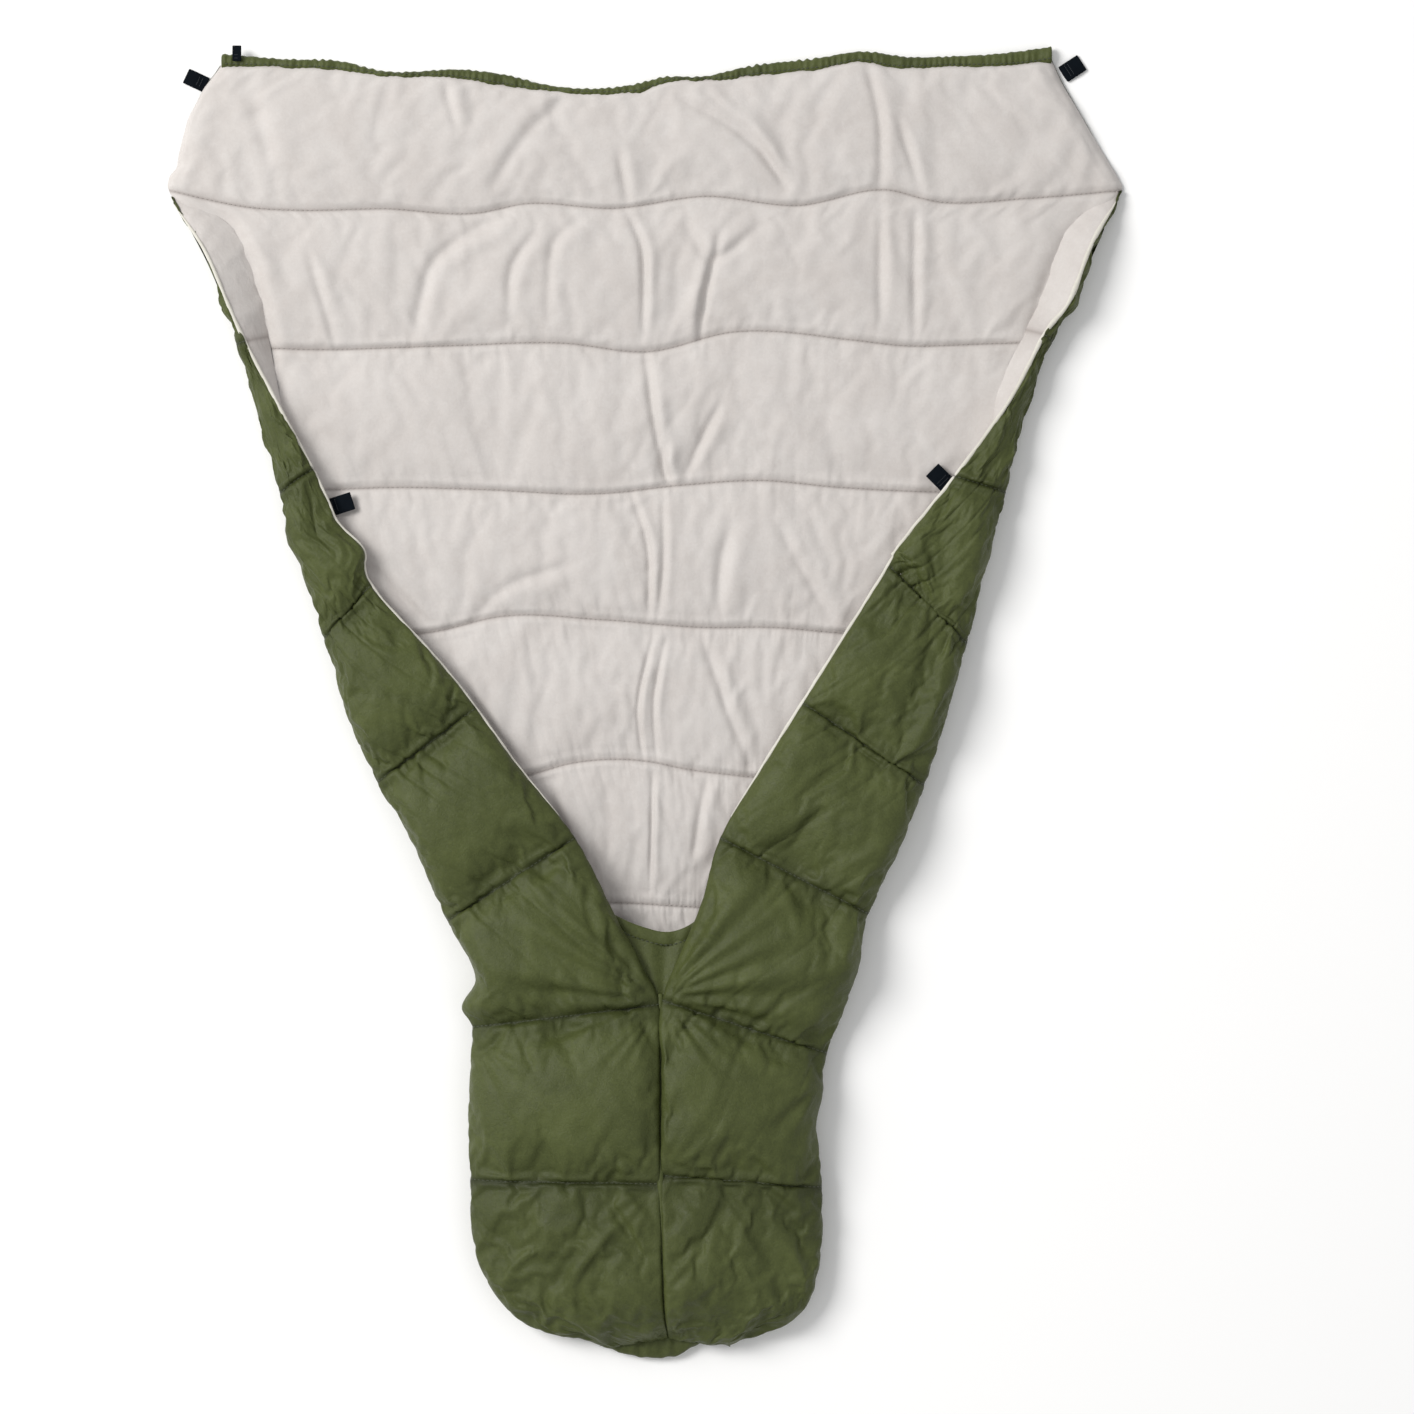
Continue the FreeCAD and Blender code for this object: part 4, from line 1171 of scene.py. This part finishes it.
def centre_seam():
    """The seam that joins the two covers along the foot box, in the groove between them."""
    y = np.linspace(-420, -925, 80)
    height = edge_line(left, y, 5) - 5
    middle = 0.5 * (edge_line(left, y, 2) + edge_line(right, y, 2))
    near, far = np.column_stack([middle - 5, y]), np.column_stack([middle + 5, y])
    shell_piece(tube("centre_seam_ridge", near, far, height - 6, height + 1, 10), ["centre_seam_tape"])


head_hem()
foot_hem()
vee_gusset()
centre_seam()


# ---------------- webbing loops
def webbing_loop(name, root, direction, width, length, base, tail):
    """A tape folded into a loop, its two layers sewn together at the root."""
    turn = math.radians(direction)
    along, across = np.array([math.cos(turn), math.sin(turn)]), np.array([-math.sin(turn), math.cos(turn)])
    thick, gap, bend = 1.3, 0.7, 2.0
    bottom, top = base + thick / 2, base + 2 * bend - thick / 2
    line = [(-tail, bottom + 0.6), (0.0, bottom + 0.3), (length - bend - 1.5, bottom)]
    for k in np.radians(np.linspace(-90, 90, 9)):
        reach = bend - thick / 2
        line.append((length - bend + reach * math.cos(k), base + bend + reach * math.sin(k)))
    line += [(length - bend - 1.5, top), (length * 0.5, top + gap), (0.0, top - 0.4), (-tail, top - 0.8)]
    line = resample(np.array(line, float), 40)
    tangent = np.gradient(line, axis=0)
    tangent /= np.linalg.norm(tangent, axis=1)[:, None]
    side_way = np.stack([tangent[:, 1], -tangent[:, 0]], 1)
    half = width / 2
    upper = ((-half, 0.0), (-half + 0.5, 0.5), (-half + 2.2, 0.62), (0, 0.65), (half - 2.2, 0.62),
             (half - 0.5, 0.5))
    profile = upper + tuple((-w, -t) for w, t in upper)
    verts = []
    for point, way in zip(line, side_way):
        for w, t in profile:
            flat = np.array(root, float) + along * (point[0] + way[0] * t) + across * w
            verts.append((flat[0], flat[1], point[1] + way[1] * t))
    tape = add_mesh(name + "_tape", verts, ring_faces(len(line), len(profile)))
    finish_piece(tape, WEBBING, "webbing", name, replaced=[name])
    rows = []
    for at in (3.0, 8.0):
        middle, reach = np.array(root) + along * at, across * (half - 2.5)
        level = base + 2 * bend + 0.35
        rows.append(np.linspace(np.append(middle - reach, level), np.append(middle + reach, level), 12))
    thread = stitches(name + "_stitches", rows, pitch=2.6, length=1.8, radius=0.4)
    finish_piece(thread, TAPE_THREAD, "webbing", name, 0)


for name, root, direction, width, length in (
        ("head_tab_left", (-642, 897), 155, 23, 28), ("head_tab_right", (612, 913), 33, 26, 28),
        ("side_tab_left", (-453, 280), 18, 26, 33), ("side_tab_right", (435, 315), 135, 26, 28),
        ("hem_loop", (-591, 928), 90, 13, 22)):
    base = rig.box(name)[0].z / MM
    webbing_loop(name, root, direction, width, length, base, 1.0 if name == "hem_loop" else 6.0)

# ---------------- floor, camera, light
FLOOR = 30000
corners = [(x * FLOOR, y * FLOOR, 0) for x, y in ((-1, -1), (1, -1), (1, 1), (-1, 1))]
floor = add_mesh("floor", corners, [(0, 1, 2, 3)])
paper = bpy.data.materials.new("floor_paper")
paper.use_nodes = True
paper_shader = paper.node_tree.nodes["Principled BSDF"]
paper_shader.inputs["Base Color"].default_value = (0.95, 0.95, 0.95, 1)
paper_shader.inputs["Roughness"].default_value = 0.9
floor.data.materials.append(paper)
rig.stage(floor)

camera_data = bpy.data.cameras.new("camera")
camera_data.sensor_width = 36
camera_data.lens = 100
camera = bpy.data.objects.new("camera", camera_data)
camera.location = (0.0901, -0.00865, 5.71)
scene.collection.objects.link(camera)
scene.camera = camera


def area_light(name, place, size, power, colour):
    """A square lamp that looks at the middle of the quilt."""
    light = bpy.data.lights.new(name, "AREA")
    light.shape = "RECTANGLE"
    light.size = light.size_y = size
    light.energy = power
    light.color = colour
    obj = bpy.data.objects.new(name, light)
    obj.location = place
    way = -np.array(place)
    tilt = math.acos(-way[2] / np.linalg.norm(way))
    obj.rotation_euler = (tilt, 0, math.atan2(way[1], way[0]) - math.pi / 2)
    scene.collection.objects.link(obj)


area_light("key", (-5.6, 2.8, 6.2), size=4.0, power=690, colour=(1.0, 0.99, 0.97))
area_light("fill", (3.0, -1.5, 5.2), size=3.0, power=15, colour=(0.97, 0.98, 1.0))
world = bpy.data.worlds.new("studio")
scene.world = world
world.use_nodes = True
background = world.node_tree.nodes["Background"]
background.inputs["Color"].default_value = (1, 1, 1, 1)
background.inputs["Strength"].default_value = 0.54
scene.view_settings.view_transform = "Standard"

low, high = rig.bounds()
with open("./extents.json", "w") as file:
    json.dump({"cad": [list(cad_low), list(cad_high)], "visual": [list(low), list(high)]}, file)
